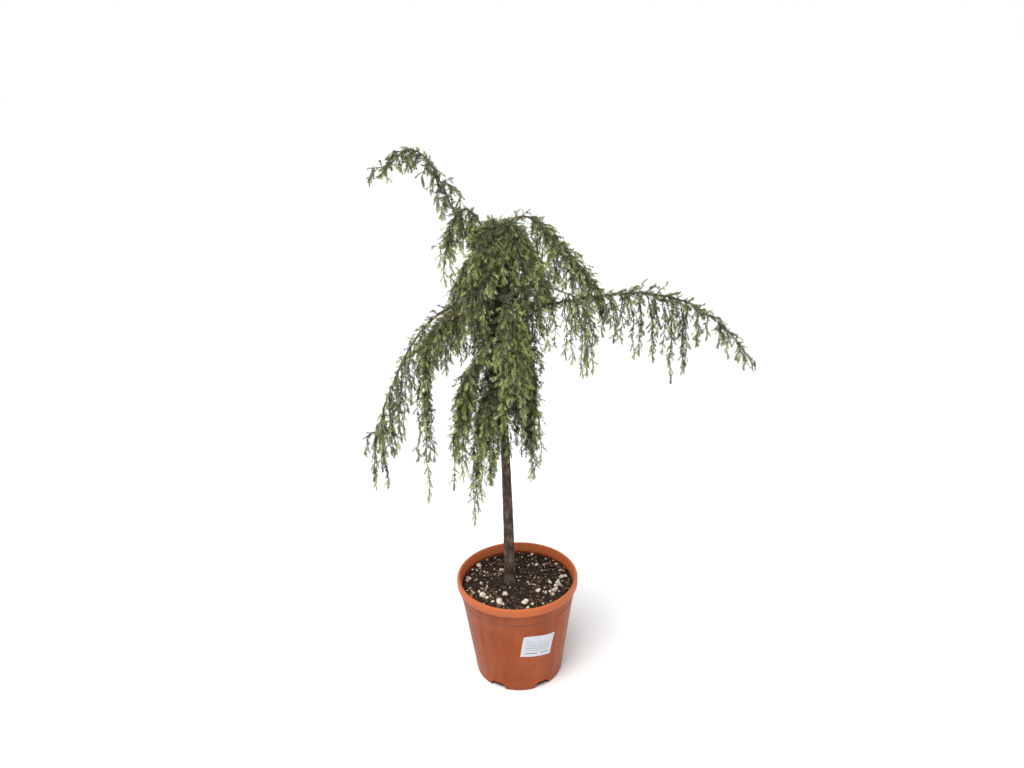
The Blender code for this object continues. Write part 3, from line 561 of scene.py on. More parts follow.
# Mix, label and pumice: dark and light colour, roughness, fineness of the pattern, bump in metres
LUMPS = {
    "growing_mix": ((0.008, 0.006, 0.005), (0.045, 0.031, 0.022), 0.95, 240.0, 0.0012),
    "soil_crumbs": ((0.012, 0.008, 0.006), (0.068, 0.046, 0.032), 0.95),
    "dark_soil_crumbs": ((0.008, 0.006, 0.005), (0.034, 0.024, 0.018), 0.95),
    "bark_chips": ((0.030, 0.018, 0.011), (0.150, 0.086, 0.050), 0.85),
    "wood_chips": ((0.13, 0.085, 0.050), (0.36, 0.26, 0.165), 0.85),
    "pumice": ((0.46, 0.39, 0.28), (0.82, 0.76, 0.63), 0.92, 260.0, 0.0011),
    "label_paper": ((0.54, 0.56, 0.61), (0.60, 0.62, 0.67), 0.55, 90.0, 0.00004),
    "label_rules": ((0.09, 0.095, 0.11), (0.19, 0.20, 0.23), 0.6, 400.0, 0.00002),
}


# Growth rule, the same as in the solids


def trunk_centre(height):
    rise = (height - TRUNK_FOOT) / (TRUNK_TOP - TRUNK_FOOT)
    x = TRUNK_FOOT_X - TRUNK_LEAN * rise + TRUNK_SWAY * math.sin(7.0 * rise)
    return np.array([x, TRUNK_SWAY * math.sin(5.0 * rise + 1.0), height])


def trunk_radius(height):
    rise = (height - TRUNK_FOOT) / (TRUNK_TOP - TRUNK_FOOT)
    taper = TRUNK_FOOT_RADIUS + (TRUNK_TOP_RADIUS - TRUNK_FOOT_RADIUS) * rise
    return taper + FLARE * math.exp(-(height - TRUNK_FOOT) / FLARE_HEIGHT)


def level(angle):
    """The level direction at an angle in radians."""
    return np.array([math.cos(angle), math.sin(angle), 0.0])


def heading(bearing):
    return level(math.radians(bearing))


def limb_point(name, t):
    """The point at share t of the limb's curve, which begins at the trunk's bark."""
    height, bearing, first, second, third, _ = LIMBS[name]
    a = 3.0 * (1.0 - t) ** 2 * t
    b = 3.0 * (1.0 - t) * t ** 2
    c = t ** 3
    out = a * first[0] + b * second[0] + c * third[0]
    up = a * first[1] + b * second[1] + c * third[1]
    start = trunk_centre(height) + heading(bearing) * (trunk_radius(height) + FIT)
    return start + heading(bearing) * out + np.array([0.0, 0.0, up])


def ring_angles(sides):
    """Even angles round a ring, in radians."""
    return [2.0 * math.pi * j / sides for j in range(sides)]


def limb_curve(name, start=0.0, end=1.0, count=LIMB_POINTS):
    return np.array([limb_point(name, t) for t in np.linspace(start, end, count)])


def limb_direction(name, t):
    step = limb_point(name, min(1.0, t + NUDGE)) - limb_point(name, t - NUDGE)
    return step / np.linalg.norm(step)


def lengths_along(points):
    return np.concatenate([[0.0], np.cumsum(np.linalg.norm(np.diff(points, axis=0), axis=1))])


def curve_length(points):
    return float(lengths_along(points)[-1])


def tangents(points):
    steps = np.gradient(points, axis=0)
    return steps / np.linalg.norm(steps, axis=1)[:, None]


def between(values, share):
    """A value between values at even steps from 0 to 1: a curve through three, lines through more."""
    if len(values) > 3:
        return float(np.interp(share, np.linspace(0.0, 1.0, len(values)), values))
    first, middle, last = values
    return (
        first * (share - 0.5) * (share - 1.0) / 0.5
        + middle * share * (share - 1.0) / -0.25
        + last * share * (share - 0.5) / 0.5
    )


def weeping_curve(start, bearing, reach, fall):
    """A branch that leaves its stem outward and bends over until it hangs."""
    t = np.linspace(0.0, 1.0, BRANCH_POINTS)
    out = reach * (1.0 - (1.0 - t) ** OUT_POWER)
    up = ARCH * reach * t * (1.0 - t) - fall * t ** FALL_POWER
    return start + out[:, None] * heading(bearing) + up[:, None] * UP


def read_along(lengths, values, wanted):
    """Rows of three values, known at some lengths along a curve, read at others."""
    return np.stack([np.interp(wanted, lengths, values[:, k]) for k in range(3)], axis=-1)


def points_at(points, wanted):
    """Points at given lengths along a curve, or one point at one length."""
    return read_along(lengths_along(points), points, wanted)


def resampled(points, step):
    """Points at even steps along a curve, with both ends kept."""
    whole = curve_length(points)
    count = max(2, int(round(whole / step)) + 1)
    return points_at(points, np.linspace(0.0, whole, count))


def part_of(points, start, end):
    """The piece of a curve between two shares of its length."""
    whole = curve_length(points)
    return points_at(points, np.linspace(start * whole, end * whole, BRANCH_POINTS))


def squared_off(way, along):
    """One direction for each of a curve's, as near to the way given as is square to the curve."""
    across = np.tile(way, (len(along), 1))
    across -= along * (across * along).sum(axis=1)[:, None]
    return across / np.linalg.norm(across, axis=1)[:, None]


def side_frames(points, bearing, roll, twist):
    """Two directions across a curve at each point, turned by roll and further by twist a point."""
    along = tangents(points)
    across = squared_off(np.cross(heading(bearing), UP), along)
    normal = np.cross(across, along)
    angles = np.radians(roll + twist * np.arange(len(points)))[:, None]
    side = across * np.cos(angles) + normal * np.sin(angles)
    return side, np.cross(side, along)


class Space:
    """The room already taken, as balls, each with the name of the limb or mass that it belongs to."""

    def __init__(self):
        self.points = np.zeros((0, 3))
        self.radii = np.zeros(0)
        self.owners = np.zeros(0, dtype=object)

    def take(self, owner, points, radii):
        self.points = np.concatenate([self.points, points])
        self.radii = np.concatenate([self.radii, np.broadcast_to(radii, len(points))])
        self.owners = np.concatenate([self.owners, np.full(len(points), owner, dtype=object)])

    def free(self, owner, points, radius, root):
        """For each point, whether a ball there is clear of other owners, and past its root of its own."""
        apart = np.linalg.norm(points[:, None, :] - self.points[None, :, :], axis=2)
        own = self.owners == owner
        own_core = self.owners == owner + " core"
        reach = self.radii + radius + np.where(own, OWN_CLEARANCE, CLEARANCE)
        near_root = np.linalg.norm(points - root, axis=1) < ROOT_ROOM
        clear = apart > reach[None, :]
        clear |= own[None, :] & near_root[:, None]
        clear |= own_core[None, :]
        return clear.all(axis=1)


def teeth_of(points, side, reach):
    """Tips of the teeth that stand for side shoots in the solids."""
    left = []
    right = []
    lean, lean_change = TOOTH_LEAN
    out, out_change = TOOTH_OUT
    steps = len(points) - 1
    for i in range(steps):
        share = (i + 0.5) / steps
        size = reach * (1.0 - TOOTH_TAPER * share ** 2)
        step = points[i + 1] - points[i]
        across = side[i] + side[i + 1]
        across = across / np.linalg.norm(across)
        longer = 1.0 if i % 2 else -1.0
        left_out = across * size * (out + out_change * longer)
        right_out = across * size * (out - out_change * longer)
        left.append(points[i] + step * (lean + lean_change * longer) + left_out)
        right.append(points[i] + step * (lean - lean_change * longer) - right_out)
    return np.array(left), np.array(right)


def balls_of(points, left, right):
    """Points spread over the core and teeth of a spray, which stand for it when its room is tested."""
    found = [points]
    splits = ROOM_SPLITS
    shares = [(a / splits, b / splits) for a in range(splits + 1) for b in range(splits + 1 - a)]
    for start, end in shares:
        for tips in (left, right):
            found.append(points[:-1] * start + points[1:] * end + tips * (1.0 - start - end))
    return np.concatenate(found)


def free_length(space, owner, points, radius):
    """How many points of a curve come before the first one that isn't clear."""
    clear = space.free(owner, points, radius, points[0])
    return len(points) if clear.all() else int(np.argmin(clear))


def plan_spray(space, owner, curve, bearing, roll):
    """The share of a spray's curve that stays in its mass's room, or 0 if too little does."""
    points = resampled(curve, TOOTH_STEP)
    side, _ = side_frames(points, bearing, roll, TWIST)
    left, right = teeth_of(points, side, TOOTH_REACH)
    good = 0
    for i in range(len(points) - 1):
        group = balls_of(points[i:i + 2], left[i:i + 1], right[i:i + 1])
        if not space.free(owner, group, SPRAY_ROOM, points[0]).all():
            break
        good = i + 1
    if good < LEAST_STEPS:
        return 0.0
    space.take(owner, balls_of(points[:good + 1], left[:good], right[:good]), SPRAY_ROOM)
    return good / (len(points) - 1)


def plan_branch(space, name, rng, s, hand, with_side):
    """The hanging shoots of one side branch, or an empty list where there is no room for it."""
    bearing = LIMBS[name][1]
    share = LIMBS[name][5]
    _, _, turns, reaches, falls, _ = MASSES[name]
    start = limb_point(name, share + (1.0 - share) * s)
    way = bearing + hand * rng.uniform(*turns)
    fall = max(LEAST_FALL, between(falls, s) * rng.uniform(*FALL_SPREAD))
    roll = rng.uniform(0.0, 180.0)
    side_turn = -hand * rng.uniform(*SIDE_TURN)
    curve = weeping_curve(start, way, rng.uniform(*reaches), fall)
    kept = free_length(space, name, curve, BRANCH_ROOM)
    if kept < LEAST_KEPT * len(curve):
        return []
    curve = curve[:kept]
    if curve_length(curve) < LONG_BRANCH:
        grown = plan_spray(space, name, curve, way, roll)
        return [part_of(curve, 0.0, grown)] if grown else []
    twig = resampled(part_of(curve, 0.0, TWIG_SHARE), TWIG_STEP)
    spray_start = TWIG_SHARE - TWIG_OVERLAP
    grown = plan_spray(space, name, part_of(curve, spray_start, 1.0), way, roll)
    if not grown:
        return []
    space.take(name, resampled(twig, ROOM_STEP), SPRAY_ROOM)
    hangers = [part_of(curve, 0.0, spray_start + (1.0 - spray_start) * grown)]
    if with_side:
        side_curve = weeping_curve(twig[-2], way + side_turn, SIDE_REACH, SIDE_FALL)
        grown = plan_spray(space, name, side_curve, way + side_turn, roll + SIDE_ROLL)
        if grown:
            hangers.append(part_of(side_curve, 0.0, grown))
    return hangers


def plan_mass(space, name, seed):
    """The main hanging shoots of one mass, by the seeded rule that all masses share."""
    rng = random.Random(seed)
    bearing = LIMBS[name][1]
    count, first, _, _, falls, _ = MASSES[name]
    hangers = []
    for i in range(count):
        s = first + (1.0 - first) * (i + PLACE_SPREAD * rng.random()) / count
        hand = 1 if i % 2 else -1
        for _ in range(TRIES):
            more = plan_branch(space, name, rng, s, hand, i % SIDE_EVERY == 0)
            hand = -hand
            if more:
                break
        hangers += more
    tip_start = limb_point(name, 1.0) - ROOM_STEP * limb_direction(name, 1.0)
    droop = TIP_DROOP * falls[-1]
    tip_reach = max(LEAST_TIP_REACH, TIP_REACH * droop)
    tip = weeping_curve(tip_start, bearing, tip_reach, max(LEAST_TIP_FALL, droop))
    grown = plan_spray(space, name, tip, bearing, rng.uniform(0.0, 180.0))
    if grown:
        hangers.append(part_of(tip, 0.0, grown))
    return hangers


def core_rings(name, radius):
    rng = random.Random(name)
    points = resampled(part_of(limb_curve(name), *CORE_SPAN), CORE_STEP)
    side, normal = side_frames(points, LIMBS[name][1], 0.0, CORE_TWIST)
    rings = []
    for i, point in enumerate(points):
        share = (i + 0.5) / len(points)
        size = radius * math.sin(math.pi * share) ** CORE_FULLNESS
        ring = []
        for angle in ring_angles(CORE_SIDES):
            out = size * rng.uniform(*CORE_JAG)
            ring.append(point + out * (side[i] * math.cos(angle) + normal[i] * math.sin(angle)))
        rings.append(ring)
    return rings


def plan_core(space, name):
    """Takes the room of a dense mass's core, made slimmer until it is clear of every limb."""
    radius = MASSES[name][5]
    while radius > LEAST_CORE:
        hull = np.array(core_rings(name, radius))
        between_rings = (hull[:-1] + hull[1:]) / 2.0
        balls = np.concatenate([hull.reshape(-1, 3), between_rings.reshape(-1, 3)])
        others = space.owners != name
        apart = np.linalg.norm(balls[:, None, :] - space.points[others][None, :, :], axis=2)
        if (apart > space.radii[others] + radius * CORE_BALL + CLEARANCE).all():
            space.take(name + " core", balls, radius * CORE_BALL)
            return
        radius -= CORE_SHRINK


def plan_crown():
    """The main hanging shoots of every mass, as the solids have them."""
    space = Space()
    heights = np.arange(TRUNK_FOOT, TRUNK_TOP, ROOM_STEP)
    line = np.array([trunk_centre(h) for h in heights])
    space.take("trunk", line, np.array([trunk_radius(h) for h in heights]))
    for name, limb in LIMBS.items():
        share = limb[5]
        if share > 0.0:
            bough = resampled(limb_curve(name, 0.0, share, BOUGH_POINTS), ROOM_STEP)
            radii = np.linspace(BOUGH_FOOT_RADIUS, BOUGH_TIP_RADIUS, len(bough))
            space.take("bough_" + name, bough, radii)
        stem = resampled(limb_curve(name, share), ROOM_STEP)
        space.take(name, stem, STEM_RADIUS)
    for name in MASSES:
        plan_core(space, name)
    return {name: plan_mass(space, name, SEED + SEED_STEP * k) for k, name in enumerate(MASSES)}


# Finer growth


def cut_at_trunk(points):
    """The curve up to where it would come too near the trunk's bark."""
    heights = np.clip(points[:, 2], TRUNK_FOOT, TRUNK_TOP)
    centres = np.array([trunk_centre(h) for h in heights])
    radii = np.array([trunk_radius(h) for h in heights])
    clear = np.linalg.norm(points - centres, axis=1) > radii + TRUNK_ROOM
    clear[:ROOT_POINTS] = True
    return points if clear.all() else points[:int(np.argmin(clear))]


def cross_axes(along):
    """Two directions square to a unit direction and to each other."""
    helper = ACROSS if abs(along[0]) < NEARLY_ACROSS else BACK
    across = np.cross(along, helper)
    across /= np.linalg.norm(across)
    return across, np.cross(along, across)


def side_shoot(start, along, turn, lean, length, droop):
    """A short shoot that leaves its branch at an angle and bends down under its own weight."""
    across, over = cross_axes(along)
    out = across * math.cos(turn) + over * math.sin(turn)
    first = along * math.cos(lean) + out * math.sin(lean)
    last = first * (1.0 - droop) + DOWN * droop
    last /= np.linalg.norm(last)
    t = np.linspace(0.0, 1.0, SHOOT_POINTS)[:, None]
    return start + length * (first * (t - t * t / 2.0) + last * t * t / 2.0)


class Crown:
    """All twigs and whorls of needles of the plant, gathered until they are made into meshes."""

    def __init__(self):
        self.rng = random.Random(SEED)
        self.bark_tubes = []
        self.green_tubes = []
        self.whorls = {tint: [] for tint in TINTS}

    def pick(self, old, zone):
        """A tint for a growing tip or an older stretch in one part of the crown."""
        names = list(TINTS)
        return self.rng.choices(names, [TINTS[name][1][zone][old] for name in names])[0]

    def dress(self, points, bare, tuft, zone, size=1.0):
        """Whorls of needles along a shoot: thin on its older stretch, and a slim tuft at its tip."""
        lengths = lengths_along(points)
        along = tangents(points)
        whole = float(lengths[-1])
        tuft_start = max(bare, whole - tuft)
        old_at = np.arange(bare, tuft_start, OLD_STEP)
        old_at = old_at[[self.rng.random() < OLD_KEPT[zone] for _ in old_at]]
        tip_at = np.arange(tuft_start, whole + END_SLACK, TUFT_STEP[zone])
        size *= ZONE_SIZE[zone]
        for at, is_old in ((old_at, True), (tip_at, False)):
            if not len(at):
                continue
            turns = self.rng.uniform(0.0, FIRST_TURN) + np.arange(len(at)) * math.pi / 3.0
            if is_old:
                spread = np.full(len(at), OLD_SPREAD)
                sizes = np.full(len(at), OLD_SIZE * size)
            else:
                left = np.maximum(0.0, (whole - at) / tuft)
                spread = TUFT_SPREAD[0] + TUFT_SPREAD[1] * left ** TUFT_CLOSING
                swell = np.sin(math.pi * np.clip(left * TUFT_FOOT, 0.0, 1.0))
                sizes = size * (TUFT_SIZE[0] + TUFT_SIZE[1] * swell)
            places = [read_along(lengths, points, at), read_along(lengths, along, at)]
            rows = np.concatenate([*places, np.stack([turns, spread, sizes], axis=1)], axis=1)
            self.whorls[self.pick(is_old, zone)].append(rows)

    def add_hanger(self, points, kind, zone, fullness=None):
        """One hanging shoot with its side shoots, each ending in a tuft."""
        usual_fullness, thickness, bare = HANGERS[kind]
        fullness = fullness or usual_fullness
        points = cut_at_trunk(self.waved(points))
        whole = curve_length(points)
        if whole < LEAST_HANGER:
            return
        radii = (thickness * HANGER_RADIUS, HANGER_TIP_RADIUS)
        self.bark_tubes.append((resampled(points, HANGER_STEP), *radii, HANGER_SIDES))
        at = min(bare, MOST_BARE * whole)
        self.dress(points, at, min(END_TUFT, MOST_TUFT * whole), zone, END_NEEDLES)
        turn = self.rng.uniform(0.0, ROUND)
        along = tangents(points)
        lengths = lengths_along(points)
        while at < whole - END_BARE:
            longest = between(SHOOT_LENGTHS, at / whole)
            length = fullness * longest * self.rng.uniform(*LENGTH_SPREAD)
            length = min(length, TIP_SHOOT + TIP_TAPER * (whole - at))
            way = read_along(lengths, along, at)
            way /= np.linalg.norm(way)
            lean = self.rng.uniform(*SHOOT_LEAN)
            droop = self.rng.uniform(*SHOOT_DROOP)
            self.add_shoot(side_shoot(points_at(points, at), way, turn, lean, length, droop), zone)
            turn += GOLDEN_ANGLE + self.rng.uniform(*TURN_SPREAD)
            at += SHOOT_STEP * self.rng.uniform(*STEP_SPREAD)

    def waved(self, points):
        """A hanging shoot with slight bends to either side, none at its root."""
        shares = np.linspace(0.0, 1.0, len(points))
        found = points.copy()
        for axis in range(2):
            turn = self.rng.uniform(0.0, ROUND)
            bends = self.rng.uniform(*WAVE_BENDS) * 2.0 * math.pi
            wave = np.sin(turn + bends * shares) - math.sin(turn) * (1.0 - shares)
            found[:, axis] += WAVE * wave * np.minimum(1.0, WAVE_START * shares)
        return found

    def add_shoot(self, points, zone):
        """One short side shoot, which may fork, with a tuft at each tip."""
        points = cut_at_trunk(points)
        whole = curve_length(points)
        if whole < LEAST_SHOOT:
            return
        self.add_green_tube(points, SHOOT_RADIUS)
        self.dress(points, SHOOT_BARE, min(SIDE_TUFT, SIDE_TUFT_SHARE * whole), zone, SIDE_NEEDLES)
        if whole > FORKED_FROM and self.rng.random() < FORKED_SHARE:
            middle = len(points) // 2
            turn = self.rng.uniform(0.0, ROUND)
            way = tangents(points)[middle]
            fork = side_shoot(points[middle], way, turn, FORK_LEAN, FORK_LENGTH * whole, FORK_DROOP)
            self.add_green_tube(fork, SHOOT_TIP_RADIUS)
            self.dress(fork, FORK_BARE, FORK_TUFT * whole, zone, FORK_NEEDLES)

    def add_green_tube(self, points, radius):
        """A shoot's bark through its foot, its middle and its tip, which are enough for it."""
        three = points[[0, len(points) // 2, -1]]
        self.green_tubes.append((three, radius, SHOOT_TIP_RADIUS, SHOOT_SIDES))


def grow_fine_hangers(crown, name, rng):
    """More hanging shoots between the main ones, by the same rule, shorter and finer."""
    bearing = LIMBS[name][1]
    share = LIMBS[name][5]
    step, fullness = FINE_GROWTH.get(name, USUAL_GROWTH)
    _, first, turns, reaches, falls, dense = MASSES[name]
    stem = limb_curve(name, share + (1.0 - share) * first)
    count = int(curve_length(stem) / step)
    for i in range(count):
        s = (i + rng.random()) / count
        hand = 1 if i % 2 else -1
        way = bearing + hand * rng.uniform(FINE_TURNS[0] * turns[0], FINE_TURNS[1] * turns[1])
        fall = max(LEAST_FINE_FALL, between(falls, s) * rng.uniform(*FINE_FALLS))
        reach = rng.uniform(FINE_REACHES[0] * reaches[0], FINE_REACHES[1] * reaches[1])
        if ZONES.get(name) == ARM:
            reach *= 1.0 - ARM_CLOSING * s
        start = limb_point(name, share + (1.0 - share) * (first + (1.0 - first) * s))
        # Every other fine shoot of a dense mass below SHADED_TOP takes the inner crown's darker tints, as
        # painted shade
        shaded = dense > 0.0 and i % 2 == 0 and start[2] < SHADED_TOP
        zone = INNER if shaded else ZONES.get(name, OUTER)
        crown.add_hanger(weeping_curve(start, way, reach, fall), "fine", zone, fullness)
    if dense > 0.0:
        grow_dense_middle(crown, name, rng, dense)


def places_along(stem, step, rng):
    """Number, share of the length, point and direction of places at about even steps on a stem."""
    whole = curve_length(stem)
    count = int(whole / step)
    along = tangents(stem)
    last = len(stem) - 1
    for i in range(count):
        at = whole * (i + rng.random()) / count
        yield i, at / whole, points_at(stem, at), along[min(last, int(last * at / whole))]


def grow_dense_middle(crown, name, rng, dense):
    """Short shoots all round the hanging part of a dense mass's stem."""
    stem = part_of(limb_curve(name), DENSE_START, 1.0)
    for i, _, start, way in places_along(stem, DENSE_STEP, rng):
        length = dense * rng.uniform(*DENSE_LENGTH)
        lean = rng.uniform(*DENSE_LEAN)
        shoot = side_shoot(start, way, i * GOLDEN_ANGLE, lean, length, rng.uniform(*DENSE_DROOP))
        # Below SHADED_TOP these shoots take the inner crown's darker tints, as painted shade
        crown.add_hanger(shoot, "dense", INNER if start[2] < SHADED_TOP else OUTER)


def grow_stem_shoots(crown, name, rng):
    """Short bushy shoots straight off the limb, on its upper side too."""
    zone = ZONES.get(name, OUTER)
    shares = STEM_SHOOT_SHARES.get(name, USUAL_SHARES)
    stem = limb_curve(name, STEM_SHOOT_START)
    for i, at, start, way in places_along(stem, STEM_SHOOT_STEP, rng):
        length = rng.uniform(*STEM_SHOOT_LENGTH) * between(shares, at)
        lean = rng.uniform(*STEM_SHOOT_LEAN)
        shoot = side_shoot(start, way, i * GOLDEN_ANGLE, lean, length, rng.uniform(*STEM_SHOOT_DROOP))
        if length > BUSHY_LENGTH:
            crown.add_hanger(shoot, "bushy", zone)
        else:
            crown.add_shoot(shoot, zone)
    crown.dress(stem, STEM_BARE * curve_length(stem), END_TUFT, zone)


def inside_bark(height, bearing, share):
    """A point in the trunk, at a share of its radius."""
    return trunk_centre(height) + heading(bearing) * share * trunk_radius(height)


def grow_trunk_shoots(crown, rng):
    """Thin shoots that hang round the trunk inside the crown."""
    for i in range(TRUNK_SHOOTS):
        height = TRUNK_SHOOTS_FOOT + TRUNK_SHOOTS_SPAN * (i + rng.random()) / TRUNK_SHOOTS
        bearing = math.degrees(i * GOLDEN_ANGLE)
        start = inside_bark(height, bearing, TRUNK_SHOOT_ROOT)
        reach = rng.uniform(*TRUNK_SHOOT_REACH)
        curve = weeping_curve(start, bearing, reach, rng.uniform(*TRUNK_SHOOT_FALL))
        # The inner crown's darker tints on these shoots are painted shade
        crown.add_hanger(curve, "trunk", INNER)


def grow_top_shoots(crown, rng):
    """Short upright shoots round the trunk's tip, where the graft has grown its thickest twigs."""
    for i in range(TOP_SHOOTS):
        height = TRUNK_TOP - TOP_SHOOTS_SPAN * rng.random()
        turn = i * GOLDEN_ANGLE
        bearing = math.degrees(turn)
        start = inside_bark(height, bearing, TOP_SHOOT_ROOT)
        lean = rng.uniform(*TOP_SHOOT_LEAN)
        way = UP * math.cos(lean) + heading(bearing) * math.sin(lean)
        length = rng.uniform(*TOP_SHOOT_LENGTH)
        shoot = side_shoot(start, way, turn, TOP_SHOOT_TURN, length, rng.uniform(*TOP_SHOOT_DROOP))
        crown.add_hanger(shoot, "top", OUTER)


def grow_crown():
    crown = Crown()
    rng = random.Random(SEED + 1)
    for name, hangers in plan_crown().items():
        fullness = FINE_GROWTH.get(name, USUAL_GROWTH)[1]
        for hanger in hangers:
            crown.add_hanger(hanger, "main", ZONES.get(name, OUTER), fullness)
        grow_fine_hangers(crown, name, rng)
        grow_stem_shoots(crown, name, rng)
    grow_trunk_shoots(crown, rng)
    grow_top_shoots(crown, rng)
    return crown


# Meshes


def linked(name, data):
    """A new object with that mesh, light or camera, in the scene."""
    made = bpy.data.objects.new(name, data)
    bpy.context.scene.collection.objects.link(made)
    return made


def mesh_object(name, vertices, faces, smooth=False):
    """An object from an array of points and an array of faces that all have as many corners."""
    mesh = bpy.data.meshes.new(name)
    count, corners = faces.shape
    mesh.vertices.add(len(vertices))
    mesh.vertices.foreach_set("co", np.ascontiguousarray(vertices, dtype=np.float32).ravel())
    mesh.loops.add(count * corners)
    mesh.loops.foreach_set("vertex_index", np.ascontiguousarray(faces, dtype=np.int32).ravel())
    mesh.polygons.add(count)
    mesh.polygons.foreach_set("loop_start", np.arange(0, count * corners, corners, dtype=np.int32))
    mesh.polygons.foreach_set("use_smooth", np.full(count, smooth))
    mesh.update(calc_edges=True)
    return linked(name, mesh)


def placed(made, material, *nodes, slot):
    """Gives a piece its material, lets it stand for CAD nodes and sets it on the plant's one body."""
    made.data.materials.append(material)
    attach(made, "root")
    if nodes:
        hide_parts(*nodes)
    return made


def wall_faces(rings, sides):
    """Triangles of the walls between rings of equal count."""
    a = np.arange(rings - 1)[:, None] * sides + np.arange(sides)[None, :]
    b = np.arange(rings - 1)[:, None] * sides + (np.arange(sides)[None, :] + 1) % sides
    return np.concatenate([
        np.stack([a, b, b + sides], axis=2).reshape(-1, 3),
        np.stack([a, b + sides, a + sides], axis=2).reshape(-1, 3),
    ])


def fan_faces(first, sides, middle, turn=1):
    """Triangles from one ring, whose first point is given, to its middle point."""
    here = first + np.arange(sides)
    there = first + (np.arange(sides) + 1) % sides
    return np.stack([*(here, there)[::turn], np.full(sides, middle)], axis=1)


def tube(points, radii, sides):
    """Points and triangles of a tapering tube, closed at its foot and pointed at its tip."""
    along = tangents(points)
    across = squared_off(cross_axes(along[0])[0], along)
    over = np.cross(along, across)
    angles = (2.0 * math.pi * np.arange(sides) / sides)[None, :, None]
    ring = across[:, None, :] * np.cos(angles) + over[:, None, :] * np.sin(angles)
    rings = (points[:, None, :] + ring * radii[:, None, None])[:-1].reshape(-1, 3)
    foot = np.array([[0, j, j - 1] for j in range(2, sides)])
    walls = wall_faces(len(points) - 1, sides)
    tip = fan_faces((len(points) - 2) * sides, sides, len(rings))
    return np.concatenate([rings, points[-1:]]), np.concatenate([walls, tip, foot])


def gathered(shapes):
    """The points and faces of many shapes, put together."""
    starts = np.cumsum([0] + [len(points) for points, _ in shapes])
    faces = [corners + start for (_, corners), start in zip(shapes, starts)]
    return np.concatenate([points for points, _ in shapes]), np.concatenate(faces)


def tubes_object(name, tubes):
    """Many tapering tubes in one object, from (points, foot radius, tip radius, sides) each."""
    shapes = []
    for points, foot, tip, sides in tubes:
        shapes.append(tube(points, np.linspace(foot, tip, len(points)), sides))
    return mesh_object(name, *gathered(shapes), True)


def ring_object(name, vertices, sides, smooth=True):
    """A closed object from rings of equal count, with a middle point in each end."""
    first = len(vertices)
    last_row = first - sides
    ends = np.array([vertices[:sides].mean(axis=0), vertices[last_row:].mean(axis=0)])
    near = fan_faces(0, sides, first, -1)
    far = fan_faces(last_row, sides, first + 1)
    faces = np.concatenate([wall_faces(first // sides, sides), near, far])
    return mesh_object(name, np.concatenate([vertices, ends]), faces, smooth)


def joined(name, objects):
    """One object in place of several, with their meshes put together."""
    bm = bmesh.new()
    for other in objects:
        bm.from_mesh(other.data)
    mesh = bpy.data.meshes.new(name)
    bm.to_mesh(mesh)
    bm.free()
    for other in objects:
        bpy.data.objects.remove(other)
    return linked(name, mesh)


def needle_arrays(rows, rng):
    """Points and triangles of three needles for each whorl: blades of two inner faces, which come
    first, and two outer faces that meet in a keel."""
    rows = np.repeat(rows, 3, axis=0)
    count = len(rows)
    centres = rows[:, 0:3]
    along = rows[:, 3:6] / np.linalg.norm(rows[:, 3:6], axis=1)[:, None]
    helper = np.where(np.abs(along[:, :1]) < NEARLY_ACROSS, ACROSS[None, :], BACK[None, :])
    across = np.cross(along, helper)
    across /= np.linalg.norm(across, axis=1)[:, None]
    over = np.cross(along, across)
    turns = rows[:, 6] + np.tile([0.0, 1.0, 2.0], count // 3) * 2.0 * math.pi / 3.0
    turns += rng.uniform(-NEEDLE_TURN, NEEDLE_TURN, count)
    spread = rows[:, 7] + rng.uniform(-NEEDLE_SPREAD, NEEDLE_SPREAD, count)
    out = across * np.cos(turns)[:, None] + over * np.sin(turns)[:, None]
    way = along * np.cos(spread)[:, None] + out * np.sin(spread)[:, None]
    side = np.cross(way, out)
    side /= np.linalg.norm(side, axis=1)[:, None]
    outer = np.cross(side, way)
    length = (rows[:, 8] * rng.uniform(*NEEDLE_LENGTH, count))[:, None]
    half = NEEDLE_WIDTH / 2.0 * rng.uniform(*NEEDLE_WIDTHS, count)[:, None]
    middle = centres + way * length * NEEDLE_WIDEST
    base = centres + out * NEEDLE_ROOT
    left = middle + side * half - outer * half * NEEDLE_KEEL
    right = middle - side * half - outer * half * NEEDLE_KEEL
    tip = centres + way * length + along * length * NEEDLE_BEND
    vertices = np.stack([base, left, right, tip], axis=1).reshape(-1, 3)
    corners = np.array([[0, 1, 2], [1, 3, 2], [0, 3, 1], [0, 2, 3]])
    if np.dot(np.cross(left[0] - base[0], right[0] - base[0]), tip[0] - base[0]) > 0.0:
        corners = corners[:, ::-1]
    faces = (np.arange(count)[:, None, None] * 4 + corners[None, :, :]).reshape(-1, 3)
    return vertices, faces


def make_foliage(crown, materials, masses):
    """The twigs and the needles of the crown, each kind and tint apart."""
    rng = np.random.default_rng(SEED)
    for kind, tubes in (("hanging_twig", crown.bark_tubes), ("green_twig", crown.green_tubes)):
        placed(tubes_object(kind + "s", tubes), materials[kind + "_bark"], *masses, slot="bark")
    for tint, groups in crown.whorls.items():
        rows = np.concatenate(groups)
        pieces = max(1, math.ceil(3 * len(rows) / MOST_NEEDLES))
        for k, some in enumerate(np.array_split(rows, pieces)):
            vertices, faces = needle_arrays(some, rng)
            made = mesh_object(f"needles_{tint}_{k + 1}", vertices, faces)
            placed(made, materials[tint], *masses, slot="foliage")
            made.data.materials.append(materials["band"])
            sides = np.tile([1, 1, 0, 0], len(faces) // 4).astype(np.int32)
            made.data.polygons.foreach_set("material_index", sides)


# Bark


def bark_place(angle, height, seed, pattern):
    around, along, _ = pattern
    return Vector((math.cos(angle) * around, math.sin(angle) * around, height * along + seed))


